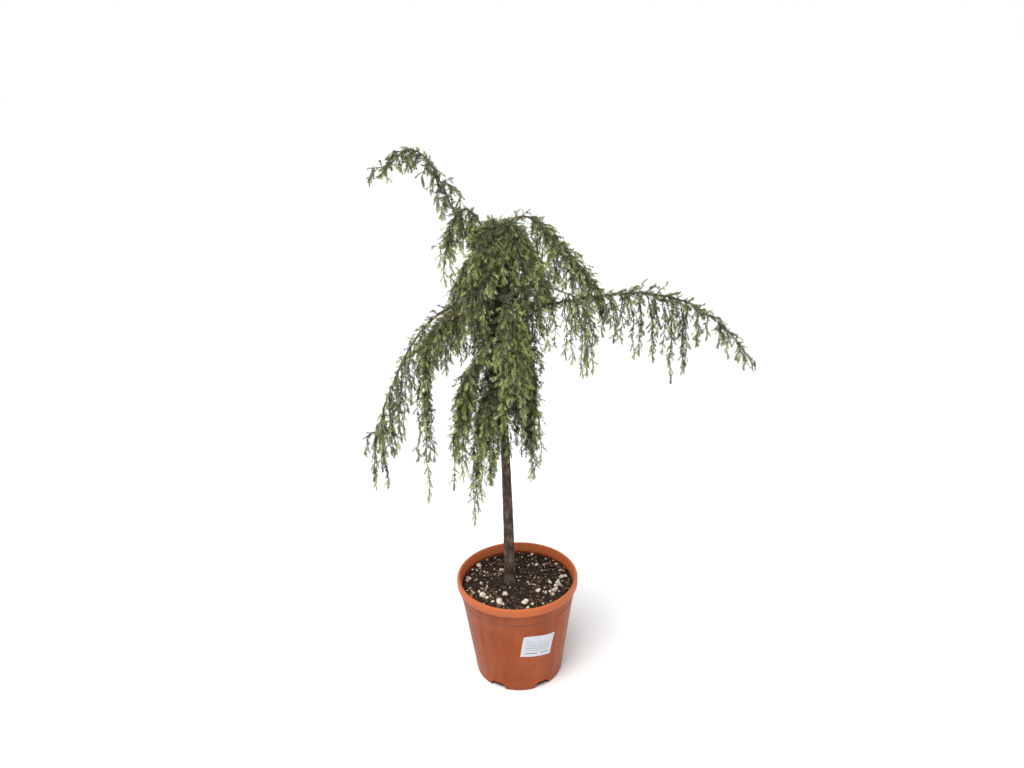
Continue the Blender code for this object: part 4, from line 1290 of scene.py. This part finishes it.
def bark_height(angle, height, seed):
    """Relief of juniper bark, about -1 to 1: long fibres and plates with fine cross cracks."""
    plates = noise.fractal(bark_place(angle, height, seed, PLATES), 1.0, 2.0, 3)
    fibres = noise.noise(bark_place(angle, height, seed, FIBRES))
    cracks = noise.noise(bark_place(angle, height, -seed, CRACKS))
    return PLATES[2] * plates + FIBRES[2] * fibres + CRACKS[2] * cracks


def knot_bumps(angle, height, radius):
    """How far the knots near a place on the trunk raise it, with a dip in each knot's middle."""
    bumps = 0.0
    for knot_height, bearing, size in KNOTS:
        off = (angle - math.radians(bearing) + math.pi) % (2.0 * math.pi) - math.pi
        apart = ((height - knot_height) / size) ** 2 + (off * radius / size) ** 2
        if apart < KNOT_END:
            dip = KNOT_DIP * math.exp(-KNOT_DIP_SHARPNESS * apart)
            bumps += KNOT_RISE * size * (math.exp(-apart) - dip)
    return bumps


def make_trunk(material):
    """The trunk with its bark relief, root flare, knots and a closed tip."""
    vertices = []
    for height in [TRUNK_FOOT - TRUNK_SUNK, *np.arange(TRUNK_FOOT, TRUNK_TOP, TRUNK_STEP), TRUNK_TOP]:
        centre = trunk_centre(max(height, TRUNK_FOOT))
        centre[2] = height
        radius = trunk_radius(max(height, TRUNK_FOOT))
        depth = (TRUNK_RELIEF[0] + TRUNK_RELIEF[1] * radius / TRUNK_FOOT_RADIUS) * radius
        fading = math.exp(-(height - TRUNK_FOOT) / BUTTRESS_HEIGHT)
        for angle in ring_angles(TRUNK_SIDES):
            buttress = BUTTRESS * radius * math.cos(4.0 * angle + BUTTRESS_TURN) * fading
            out = radius + depth * bark_height(angle, height, 0.0) + buttress
            vertices.append(centre + (out + knot_bumps(angle, height, radius)) * level(angle))
    made = ring_object("trunk_bark", np.array(vertices), TRUNK_SIDES)
    return placed(made, material, "trunk", slot="bark")


def limb_rings(name, seed):
    """Rings of a whole limb, from inside the trunk to the tip of its stem, with its bark relief."""
    share = LIMBS[name][5]
    curve = limb_curve(name, count=FINE_LIMB_POINTS)
    inward = curve[0] - limb_direction(name, 2.0 * NUDGE) * LIMB_SUNK * trunk_radius(LIMBS[name][0])
    points = resampled(np.concatenate([[inward], curve]), LIMB_STEP)
    at = lengths_along(points)
    places = [0.0, share * at[-1], at[-1]] if share > 0.0 else [0.0, at[-1]]
    bough = [BOUGH_FOOT_RADIUS, BOUGH_TIP_RADIUS] if share > 0.0 else [STEM_RADIUS * STEM_FOOT]
    radii = np.interp(at, places, [*bough, STEM_TIP_RADIUS])
    radii *= 1.0 + FOOT_SWELL * np.exp(-at / FOOT_SWELL_LENGTH)
    along = tangents(points)
    across, _ = cross_axes(along[0])
    vertices = []
    for i, point in enumerate(points):
        across = across - along[i] * np.dot(across, along[i])
        across /= np.linalg.norm(across)
        over = np.cross(along[i], across)
        for angle in ring_angles(LIMB_SIDES):
            out = radii[i] * (1.0 + LIMB_RELIEF * bark_height(angle, at[i], seed))
            vertices.append(point + out * (across * math.cos(angle) + over * math.sin(angle)))
    return np.array(vertices)


def make_limbs(material, boughs):
    """Every limb as one closed tube, joined into one piece."""
    limbs = []
    for k, name in enumerate(LIMBS):
        limbs.append(ring_object("limb_" + name, limb_rings(name, LIMB_SEED * (k + 1)), LIMB_SIDES))
    return placed(joined("bough_bark", limbs), material, *boughs, slot="bark")


# Pot


def eased(t):
    """An even step from 0 to 1 with soft ends."""
    return t * t * (3.0 - 2.0 * t)


def body_radius(height):
    return BASE_RADIUS + (BODY_TOP_RADIUS - BASE_RADIUS) * height / COLLAR_BOTTOM


def inner_radius(height):
    """Radius of the inside of the pot's wall."""
    if height <= COLLAR_BOTTOM:
        return body_radius(height) - WALL
    rise = (height - COLLAR_BOTTOM) / (POT_HEIGHT - COLLAR_BOTTOM)
    return BODY_TOP_RADIUS - WALL + COLLAR_FLARE * rise


def panel_share(angle):
    """1 in a recessed panel, 0 on a pillar, with a soft step between."""
    off = abs((angle - FRONT + 60.0) % 120.0 - 60.0)
    share = (PANEL_EDGE + PANEL_EDGE_SOFTNESS - off) / (2.0 * PANEL_EDGE_SOFTNESS)
    return eased(min(1.0, max(0.0, share)))


def quarter_turn(steps):
    return [math.pi / 2.0 * k / steps for k in range(steps + 1)]


def pot_profile():
    """Height, radius and share of the panel's recess, up the outside from the foot and down the inside."""
    rows = [(height, BASE_RADIUS + out, 0.0) for height, out in FOOT_EDGE]
    rows += [(height, body_radius(height), 0.0) for height in PILLAR_HEIGHTS]
    for k in range(6):
        height = PANEL_STEP_FOOT + PANEL_STEP * (k / 5.0)
        rows.append((height, body_radius(height), eased(k / 5.0)))
    for height in np.linspace(PANEL_START, COLLAR_BOTTOM - PANEL_END, PANEL_ROWS):
        rows.append((height, body_radius(height), 1.0))
    for k in range(5):
        height = COLLAR_BOTTOM - PANEL_STEP + PANEL_STEP * (k / 4.0)
        rows.append((height, body_radius(COLLAR_BOTTOM), 1.0 - eased(k / 4.0)))
    rows += [(COLLAR_BOTTOM + up, radius, 0.0) for up, radius in COLLAR_EDGE]
    rows += [(POT_HEIGHT - RIM_BAND + up, radius, 0.0) for up, radius in RIM_EDGE]
    rows.append((POT_HEIGHT - RIM_FACE_END, RIM_RADIUS, 0.0))
    for angle in quarter_turn(8):
        height = POT_HEIGHT - LIP_DROP + LIP_DROP * math.sin(angle)
        rows.append((height, RIM_RADIUS - LIP_WIDTH * (1.0 - math.cos(angle)), 0.0))
    inward = RIM_RADIUS - LIP_WIDTH - RIM_INNER_RADIUS
    for angle in quarter_turn(5)[1:]:
        height = POT_HEIGHT - INNER_LIP_DROP * (1.0 - math.cos(angle))
        rows.append((height, RIM_INNER_RADIUS + inward * (1.0 - math.sin(angle)), 0.0))
    return rows + [(height, inner_radius(height), 0.0) for height in INNER_HEIGHTS]


def round_point(radius, angle, height):
    return radius * math.cos(angle), radius * math.sin(angle), height


def make_notch(k):
    """A cutter for one rounded notch between two feet."""
    middle = FRONT + 360.0 / FEET * (k + 0.5)
    outline = [(-NOTCH_FOOT, -NOTCH_BELOW), (NOTCH_FOOT, -NOTCH_BELOW)]
    for i in range(13):
        angle = math.pi * i / 12.0
        across = math.copysign(abs(math.cos(angle)) ** NOTCH_ROUNDING[0], math.cos(angle))
        rise = (NOTCH_HEIGHT - NOTCH_START) * math.sin(angle) ** NOTCH_ROUNDING[1]
        outline.append((across, NOTCH_START + rise))
    rings = []
    for radius in NOTCH_REACH:
        for across, height in outline:
            rings.append(round_point(radius, math.radians(middle + across * NOTCH_HALF_ANGLE), height))
    return turned_out(ring_object(f"notch_{k}", np.array(rings), len(outline), False))


def turned_out(made):
    """The object with all its faces pointing out."""
    bm = bmesh.new()
    bm.from_mesh(made.data)
    bmesh.ops.recalc_face_normals(bm, faces=bm.faces)
    bm.to_mesh(made.data)
    bm.free()
    return made


def make_pot(material):
    """The pot in one mesh, with rounded notches cut between its feet."""
    vertices = []
    for height, radius, recess in pot_profile():
        for angle in np.arange(POT_SIDES) * 360.0 / POT_SIDES:
            out = radius - recess * panel_share(angle) * PANEL_DEPTH
            vertices.append(round_point(out, math.radians(angle), height))
    pot = turned_out(ring_object("pot_plastic", np.array(vertices), POT_SIDES))
    notches = bpy.data.collections.new("notches")
    bpy.context.scene.collection.children.link(notches)
    cutters = [make_notch(k) for k in range(FEET)]
    for cutter in cutters:
        bpy.context.scene.collection.objects.unlink(cutter)
        notches.objects.link(cutter)
    cut = pot.modifiers.new("notches", "BOOLEAN")
    cut.operation = "DIFFERENCE"
    cut.operand_type = "COLLECTION"
    cut.collection = notches
    cut.solver = "EXACT"
    bpy.context.view_layer.update()
    done = bpy.data.meshes.new_from_object(pot.evaluated_get(bpy.context.evaluated_depsgraph_get()))
    pot.modifiers.clear()
    pot.data = done
    for cutter in cutters:
        bpy.data.objects.remove(cutter)
    bpy.data.collections.remove(notches)
    pot.data.materials.clear()
    pot.data.set_sharp_from_angle(angle=math.radians(POT_SHARP))
    return placed(pot, material, "pot", slot="pot")


# Growing mix


def soil_surface(x, y):
    """Height of the growing mix, lumpy, and a little higher round the trunk."""
    lumps = noise.fractal(Vector((x * BED_FINENESS, y * BED_FINENESS, 3.0)), 1.0, 2.0, 4)
    mound = MOUND * math.exp(-((x - TRUNK_FOOT_X) ** 2 + y * y) / MOUND_SPREAD)
    return SOIL_LEVEL - BED_SINK + BED_RELIEF * lumps + mound


def make_soil(material):
    """The bed: a closed body that fills the pot, with a lumpy top."""
    vertices = []
    for height in (FLOOR + FIT, BED_MIDDLE, SOIL_LEVEL - BED_EDGE):
        for angle in ring_angles(BED_SIDES):
            vertices.append(round_point(inner_radius(height) - FIT, angle, height))
    edge = inner_radius(SOIL_LEVEL) - FIT
    for radius in np.linspace(edge, BED_HOLE, BED_RINGS):
        sink = EDGE_SINK * (radius / edge) ** 8
        for angle in ring_angles(BED_SIDES):
            x, y, _ = round_point(radius, angle, 0.0)
            vertices.append((x, y, soil_surface(x, y) - sink))
    return placed(ring_object("soil_bed", np.array(vertices), BED_SIDES), material, "soil", slot="soil")


def three(draw, *limits):
    return np.array([draw(*limits) for _ in range(3)])


def stone(rng, detail, cuts):
    """A rough lump of about unit radius, broken flat on some sides, as points and triangles."""
    bm = bmesh.new()
    bmesh.ops.create_icosphere(bm, subdivisions=detail, radius=1.0)
    bm.verts.ensure_lookup_table()
    points = np.array([vertex.co[:] for vertex in bm.verts])
    faces = np.array([[vertex.index for vertex in face.verts] for face in bm.faces])
    bm.free()
    for _ in range(cuts):
        side = three(rng.gauss, 0.0, 1.0)
        side /= np.linalg.norm(side)
        over = np.maximum(0.0, points @ side - rng.uniform(*BROKEN_AT))
        points = points - over[:, None] * side
    shift = Vector(three(rng.uniform, -9.0, 9.0))
    rough = BROKEN_SWELL if cuts else WHOLE_SWELL
    for i, point in enumerate(points):
        place = Vector(point)
        swell = rough * noise.noise(place * 1.3 + shift) + 0.12 * noise.noise(place * 3.1 - shift)
        points[i] = point * (1.0 + swell + 0.05 * noise.noise(place * 8.0 + shift))
    return points, faces


def turned(rng, flat):
    """A random turn as a 3 by 3 array, of a flat thing that lies down or of any other."""
    turn = Matrix.Rotation(rng.uniform(0.0, ROUND), 3, Vector(three(rng.gauss, 0, 1)).normalized())
    if flat:
        tip = Matrix.Rotation(rng.uniform(-MOST_TIPPED, MOST_TIPPED), 3, "X")
        turn = tip @ Matrix.Rotation(rng.uniform(0, ROUND), 3, "Z")
    return np.array(turn)


def scattered(name, rng, places, flatness, detail, lift, cuts, kinds):
    """Lumps of the given places and sizes, sunk a little way into the bed, in one mesh."""
    shapes = [stone(rng, detail, cuts) for _ in range(kinds)]
    lumps = []
    for i, (x, y, size) in enumerate(places):
        points, corners = shapes[i % kinds]
        width = rng.uniform(*STRETCH)
        depth = rng.uniform(*STRETCH)
        stretch = np.array([width, depth, flatness * rng.uniform(*THICKNESS_SPREAD)])
        lump = (points * stretch * size / 2.0) @ turned(rng, flatness < FLAT).T
        lumps.append((lump + np.array([x, y, soil_surface(x, y) + lift * size]), corners))
    return mesh_object(name, *gathered(lumps))


def within_pot(x, y, margin):
    """Whether a lump of that half width fits between the wall and the trunk."""
    near_trunk = math.hypot(x - TRUNK_FOOT_X, y) < TRUNK_FOOT_RADIUS + FLARE + 0.5 * margin
    return math.hypot(x, y) < inner_radius(SOIL_LEVEL) - margin and not near_trunk


def strewn(rng, count, sizes, margin):
    """Places and sizes of many lumps all over the bed, most of them near the least size."""
    found = []
    while len(found) < count:
        x = rng.uniform(-STREWN_WIDTH, STREWN_WIDTH)
        y = rng.uniform(-STREWN_WIDTH, STREWN_WIDTH)
        if within_pot(x, y, margin):
            found.append((x, y, sizes[0] + (sizes[1] - sizes[0]) * rng.random() ** SMALL_ONES))
    return found


def fibre(rng):
    """The line of one bent fibre that lies on the bed."""
    x, y, _ = strewn(rng, 1, (0.0, 0.0), FIBRE_ROOM)[0]
    turn = rng.uniform(0.0, ROUND)
    length = rng.uniform(*FIBRE_LENGTH)
    t = np.linspace(-0.5, 0.5, 6)
    bend = rng.uniform(*FIBRE_BEND)
    px = x + length * t * math.cos(turn) - bend * (4 * t * t) * math.sin(turn)
    py = y + length * t * math.sin(turn) + bend * (4 * t * t) * math.cos(turn)
    pz = np.array([soil_surface(a, b) for a, b in zip(px, py)]) + FIBRE_LIFT
    return np.stack([px, py, pz], axis=1)


def make_mix(materials):
    """Crumbs, bark chips, pumice and fibres on the bed."""
    rng = random.Random(SEED + 2)
    for name, (count, sizes, margin, *form, material) in STREWN.items():
        places = strewn(rng, count, sizes, margin) if count else PUMICE
        placed(scattered(name, rng, places, *form), materials[material], slot="soil")
    fibres = [(fibre(rng), *FIBRE_RADII, 4) for _ in range(FIBRES_ON_BED)]
    placed(tubes_object("soil_fibres", fibres), materials["bark_chips"], slot="soil")


# Label


def label_point(across, up, out):
    """A point of the label, from distances across and up from its middle, and out from the pot."""
    tilt = math.radians(LABEL_TILT)
    height = LABEL_MIDDLE + up * math.cos(tilt) - across * math.sin(tilt)
    along = across * math.cos(tilt) + up * math.sin(tilt)
    angle = math.radians(FRONT + LABEL_ANGLE) + along / body_radius(LABEL_MIDDLE)
    recess = panel_share(math.degrees(angle)) * PANEL_DEPTH
    return round_point(body_radius(height) - recess + out, angle, height)


def label_points(levels):
    """Points of the paper's front and then its back, with a slight wave and corners that lift."""
    found = []
    for thickness in (PAPER_THICKNESS, 0.0):
        for up in levels:
            rise = up / LABEL_HEIGHT
            for across in (i / LABEL_COLUMNS for i in range(LABEL_COLUMNS + 1)):
                corner = abs(2.0 * across - 1.0) ** 6 * abs(2.0 * rise - 1.0) ** 4
                wave = PAPER_WAVE * math.sin(across * 9.0 + 2.0) * rise + CORNER_LIFT * corner
                sag = PAPER_SAG * math.sin(across * 5.0) * rise ** 3
                place = (LABEL_WIDTH * (across - 0.5), up - LABEL_HEIGHT / 2.0 + sag)
                found.append(label_point(*place, PAPER_GAP + wave + thickness))
    return found


def is_ruled(share, below):
    """Whether a place of the label is on a ruled line."""
    return any(abs(below - middle) < thickness / 2.0 and start < share < end
               for middle, thickness, start, end in LABEL_RULES)


def make_label(paper, ink):
    """A thin paper label bent round the pot, blank but for ruled lines, with corners that lift."""
    levels = {0.0, PAPER_EDGE, LABEL_HEIGHT - PAPER_EDGE, LABEL_HEIGHT}
    for below, thickness, _, _ in LABEL_RULES:
        levels |= {LABEL_HEIGHT - below - thickness / 2.0, LABEL_HEIGHT - below + thickness / 2.0}
    levels = sorted(levels)
    rows = len(levels)
    row_length = LABEL_COLUMNS + 1
    back = rows * row_length
    faces = []
    inked = []
    for layer in range(2):
        for row in range(rows - 1):
            below = LABEL_HEIGHT - (levels[row] + levels[row + 1]) / 2.0
            for i in range(LABEL_COLUMNS):
                a = layer * back + row * row_length + i
                quad = [a, a + 1, a + row_length + 1, a + row_length]
                faces.append(quad if layer == 0 else quad[::-1])
                inked.append(int(layer == 0 and is_ruled((i + 0.5) / LABEL_COLUMNS, below)))
    for i in range(LABEL_COLUMNS):
        top = (rows - 1) * row_length + i
        faces.append([i, back + i, back + i + 1, i + 1])
        faces.append([top, top + 1, back + top + 1, back + top])
    for left in range(0, (rows - 1) * row_length, row_length):
        right = left + LABEL_COLUMNS
        faces.append([left, left + row_length, back + left + row_length, back + left])
        faces.append([right, back + right, back + right + row_length, right + row_length])
    inked += [0] * (len(faces) - len(inked))
    made = mesh_object("label_paper", np.array(label_points(levels)), np.array(faces), True)
    placed(made, paper, "label", slot="label")
    made.data.materials.append(ink)
    made.data.polygons.foreach_set("material_index", np.array(inked, dtype=np.int32))
    made.data.set_sharp_from_angle(angle=math.radians(LABEL_SHARP))


# Materials


def grey(value):
    return value, value, value


def scaled(colour, factor):
    return tuple(factor * c for c in colour)


def new_material(name, colour, roughness, specular):
    made = bpy.data.materials.new(name)
    made.use_nodes = True
    shader = made.node_tree.nodes["Principled BSDF"]
    shader.inputs["Base Color"].default_value = (*colour, 1.0)
    shader.inputs["Roughness"].default_value = roughness
    shader.inputs["Specular IOR Level"].default_value = specular
    return made, made.node_tree, shader


def noise_node(tree, scale, detail, stretch=(1.0, 1.0, 1.0), rough=0.55):
    """A noise pattern in the object's own coordinates, stretched along its axes."""
    place = tree.nodes.new("ShaderNodeTexCoord")
    fit = tree.nodes.new("ShaderNodeMapping")
    fit.inputs["Scale"].default_value = stretch
    pattern = tree.nodes.new("ShaderNodeTexNoise")
    pattern.inputs["Scale"].default_value = scale
    pattern.inputs["Detail"].default_value = detail
    pattern.inputs["Roughness"].default_value = rough
    tree.links.new(place.outputs["Object"], fit.inputs["Vector"])
    tree.links.new(fit.outputs["Vector"], pattern.inputs["Vector"])
    return pattern.outputs["Fac"]


def ramp(tree, value, stops):
    """Colours along a value, from (place, colour) stops."""
    made = tree.nodes.new("ShaderNodeValToRGB")
    elements = made.color_ramp.elements
    while len(elements) < len(stops):
        elements.new(0.5)
    for element, (place, colour) in zip(elements, stops):
        element.position = place
        element.color = (*colour, 1.0)
    tree.links.new(value, made.inputs["Fac"])
    return made.outputs["Color"]


def map_range(tree, value, **limits):
    """A value moved from one range to another, each from 0 to 1 unless limits says otherwise."""
    made = tree.nodes.new("ShaderNodeMapRange")
    for name, limit in limits.items():
        made.inputs[name.replace("_", " ").title()].default_value = limit
    tree.links.new(value, made.inputs["Value"])
    return made.outputs["Result"]


def add_bump(tree, shader, value, distance, strength):
    bump = tree.nodes.new("ShaderNodeBump")
    bump.inputs["Distance"].default_value = distance
    bump.inputs["Strength"].default_value = strength
    tree.links.new(value, bump.inputs["Height"])
    tree.links.new(bump.outputs["Normal"], shader.inputs["Normal"])


def mixed(tree, first, second, share, blend="MIX"):
    """Two colours blended by a fixed share or by a value."""
    made = tree.nodes.new("ShaderNodeMix")
    made.data_type = "RGBA"
    made.blend_type = blend
    if isinstance(share, float):
        made.inputs["Factor"].default_value = share
    else:
        tree.links.new(share, made.inputs["Factor"])
    tree.links.new(first, made.inputs["A"])
    tree.links.new(second, made.inputs["B"])
    return made.outputs["Result"]


def needle_material(tint, colour):
    """Waxy needles: one base colour, faintly mottled, with a soft gloss."""
    made, tree, shader = new_material("needle_" + tint, colour, 0.55, 0.11)
    mottle = noise_node(tree, 420.0, 2.0)
    colours = ramp(tree, mottle, [(0.3, scaled(colour, 0.80)), (0.7, scaled(colour, 1.16))])
    tree.links.new(colours, shader.inputs["Base Color"])
    return made


def bark_material(name, dark, middle, light, scale):
    made, tree, shader = new_material(name, middle, 0.88, 0.16)
    plates = noise_node(tree, scale, 6.0, (1.0, 1.0, 0.42))
    colours = ramp(tree, plates, [(0.30, dark), (0.52, middle), (0.72, light)])
    tree.links.new(colours, shader.inputs["Base Color"])
    add_bump(tree, shader, noise_node(tree, scale * 3.0, 5.0, (1.0, 1.0, 0.5)), 0.0006, 0.8)
    return made


def height_share(tree, low, high):
    """0 below one height of the object and 1 above another."""
    place = tree.nodes.new("ShaderNodeTexCoord")
    parts = tree.nodes.new("ShaderNodeSeparateXYZ")
    tree.links.new(place.outputs["Object"], parts.inputs["Vector"])
    return map_range(tree, parts.outputs["Z"], from_min=low, from_max=high)


def painted_shade_lines(tree):
    """Painted shade: darker bands in the grooves under the rim and under the collar, by height."""
    share = height_share(tree, 0.0, POT_HEIGHT)
    return ramp(tree, share, [(height / POT_HEIGHT, tone) for height, tone in SHADE_LINES])


def pot_material(name, body, rim, dusty):
    """Terracotta-coloured moulded plastic: browner and streaked on the body, brighter on the rim,
    with painted shade in the grooves under the rim and under the collar.
    """
    made, tree, shader = new_material(name, body, 0.42, 0.14)
    streaks = noise_node(tree, 30.0, 6.0, (1.0, 1.0, 0.16), 0.65)
    body_stops = [(0.30, scaled(body, 0.78)), (0.52, body), (0.74, scaled(body, 1.22))]
    streaked = ramp(tree, streaks, body_stops)
    rim_colour = ramp(tree, streaks, [(0.35, rim), (0.75, scaled(rim, 1.12))])
    rim_bottom = POT_HEIGHT - RIM_BAND
    base = mixed(tree, streaked, rim_colour, height_share(tree, rim_bottom - 0.002, rim_bottom + 0.003))
    # Painted shade under the rim and under the collar
    base = mixed(tree, base, painted_shade_lines(tree), 1.0, "MULTIPLY")
    patches = noise_node(tree, 11.0, 7.0, (1.0, 1.0, 1.0), 0.68)
    dust = ramp(tree, patches, [(0.46, grey(0.0)), (0.74, grey(0.34))])
    dust_tone = tree.nodes.new("ShaderNodeRGB")
    dust_tone.outputs["Color"].default_value = (*dusty, 1.0)
    tree.links.new(mixed(tree, base, dust_tone.outputs["Color"], dust), shader.inputs["Base Color"])
    tree.links.new(map_range(tree, patches, to_min=0.34, to_max=0.52), shader.inputs["Roughness"])
    add_bump(tree, shader, noise_node(tree, 700.0, 4.0), 0.00008, 0.6)
    return made


def lump_material(name, dark, light, roughness, scale=160.0, bump=0.0006):
    made, tree, shader = new_material(name, light, roughness, 0.16)
    pattern = noise_node(tree, scale, 5.0)
    tree.links.new(ramp(tree, pattern, [(0.32, dark), (0.68, light)]), shader.inputs["Base Color"])
    add_bump(tree, shader, noise_node(tree, scale * 4.0, 4.0), bump, 0.8)
    return made


def make_materials():
    found = {tint: needle_material(tint, row[0]) for tint, row in TINTS.items()}
    found["band"] = needle_material("band", BAND_COLOUR)
    found |= {name: bark_material(name, *row) for name, row in BARKS.items()}
    found["terracotta_plastic"] = pot_material("terracotta_plastic", *PLASTIC)
    return found | {name: lump_material(name, *row) for name, row in LUMPS.items()}


# Stage, light and camera


def make_floor():
    corners = [(-FLOOR_REACH, -FLOOR_REACH, 0.0), (FLOOR_REACH, -FLOOR_REACH, 0.0),
               (FLOOR_REACH, FLOOR_REACH, 0.0), (-FLOOR_REACH, FLOOR_REACH, 0.0)]
    floor = mesh_object("floor", np.array(corners), np.array([[0, 1, 2, 3]]))
    floor.data.materials.append(new_material("floor", FLOOR_COLOUR, 0.95, 0.1)[0])


def make_sky():
    """White light from the horizon all round, and less from overhead."""
    world = bpy.data.worlds.new("soft_sky")
    world.use_nodes = True
    tree = world.node_tree
    place = tree.nodes.new("ShaderNodeTexCoord")
    parts = tree.nodes.new("ShaderNodeSeparateXYZ")
    tree.links.new(place.outputs["Generated"], parts.inputs["Vector"])
    stops = [(HORIZON_END, grey(1.0)), (OVERHEAD_START, grey(OVERHEAD_LIGHT))]
    sky = ramp(tree, parts.outputs["Z"], stops)
    tree.links.new(sky, tree.nodes["Background"].inputs["Color"])
    bpy.context.scene.world = world


def make_key_light():
    light = bpy.data.lights.new("key_light", "SUN")
    light.energy = KEY_LIGHT
    light.angle = math.radians(KEY_SOFTNESS)
    linked("key_light", light).rotation_euler = (-Vector(KEY_PLACE)).to_track_quat("-Z", "Y").to_euler()


def make_camera():
    pitch = math.radians(CAMERA_PITCH)
    roll = math.radians(CAMERA_ROLL)
    forward = Vector((0.0, math.cos(pitch), -math.sin(pitch)))
    level_up = Vector((0.0, math.sin(pitch), math.cos(pitch)))
    level_right = Vector(ACROSS)
    right = math.cos(roll) * level_right + math.sin(roll) * level_up
    up = math.cos(roll) * level_up - math.sin(roll) * level_right
    data = bpy.data.cameras.new("camera")
    data.lens = FOCAL_LENGTH_MM
    data.sensor_width = SENSOR_WIDTH_MM
    camera = linked("camera", data)
    turn = Matrix((right, up, -forward)).transposed().to_4x4()
    camera.matrix_world = Matrix.Translation(Vector(CAMERA_PLACE)) @ turn
    bpy.context.scene.camera = camera


make_camera()
make_floor()
make_sky()
make_key_light()
bpy.context.scene.view_settings.view_transform = "Standard"
materials = make_materials()
masses = sorted(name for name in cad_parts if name.startswith("mass_"))
boughs = sorted(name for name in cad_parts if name.startswith("bough_"))
make_pot(materials["terracotta_plastic"])
make_soil(materials["growing_mix"])
make_mix(materials)
make_label(materials["label_paper"], materials["label_rules"])
make_trunk(materials["trunk_bark"])
make_limbs(materials["limb_bark"], boughs)
make_foliage(grow_crown(), materials, masses)
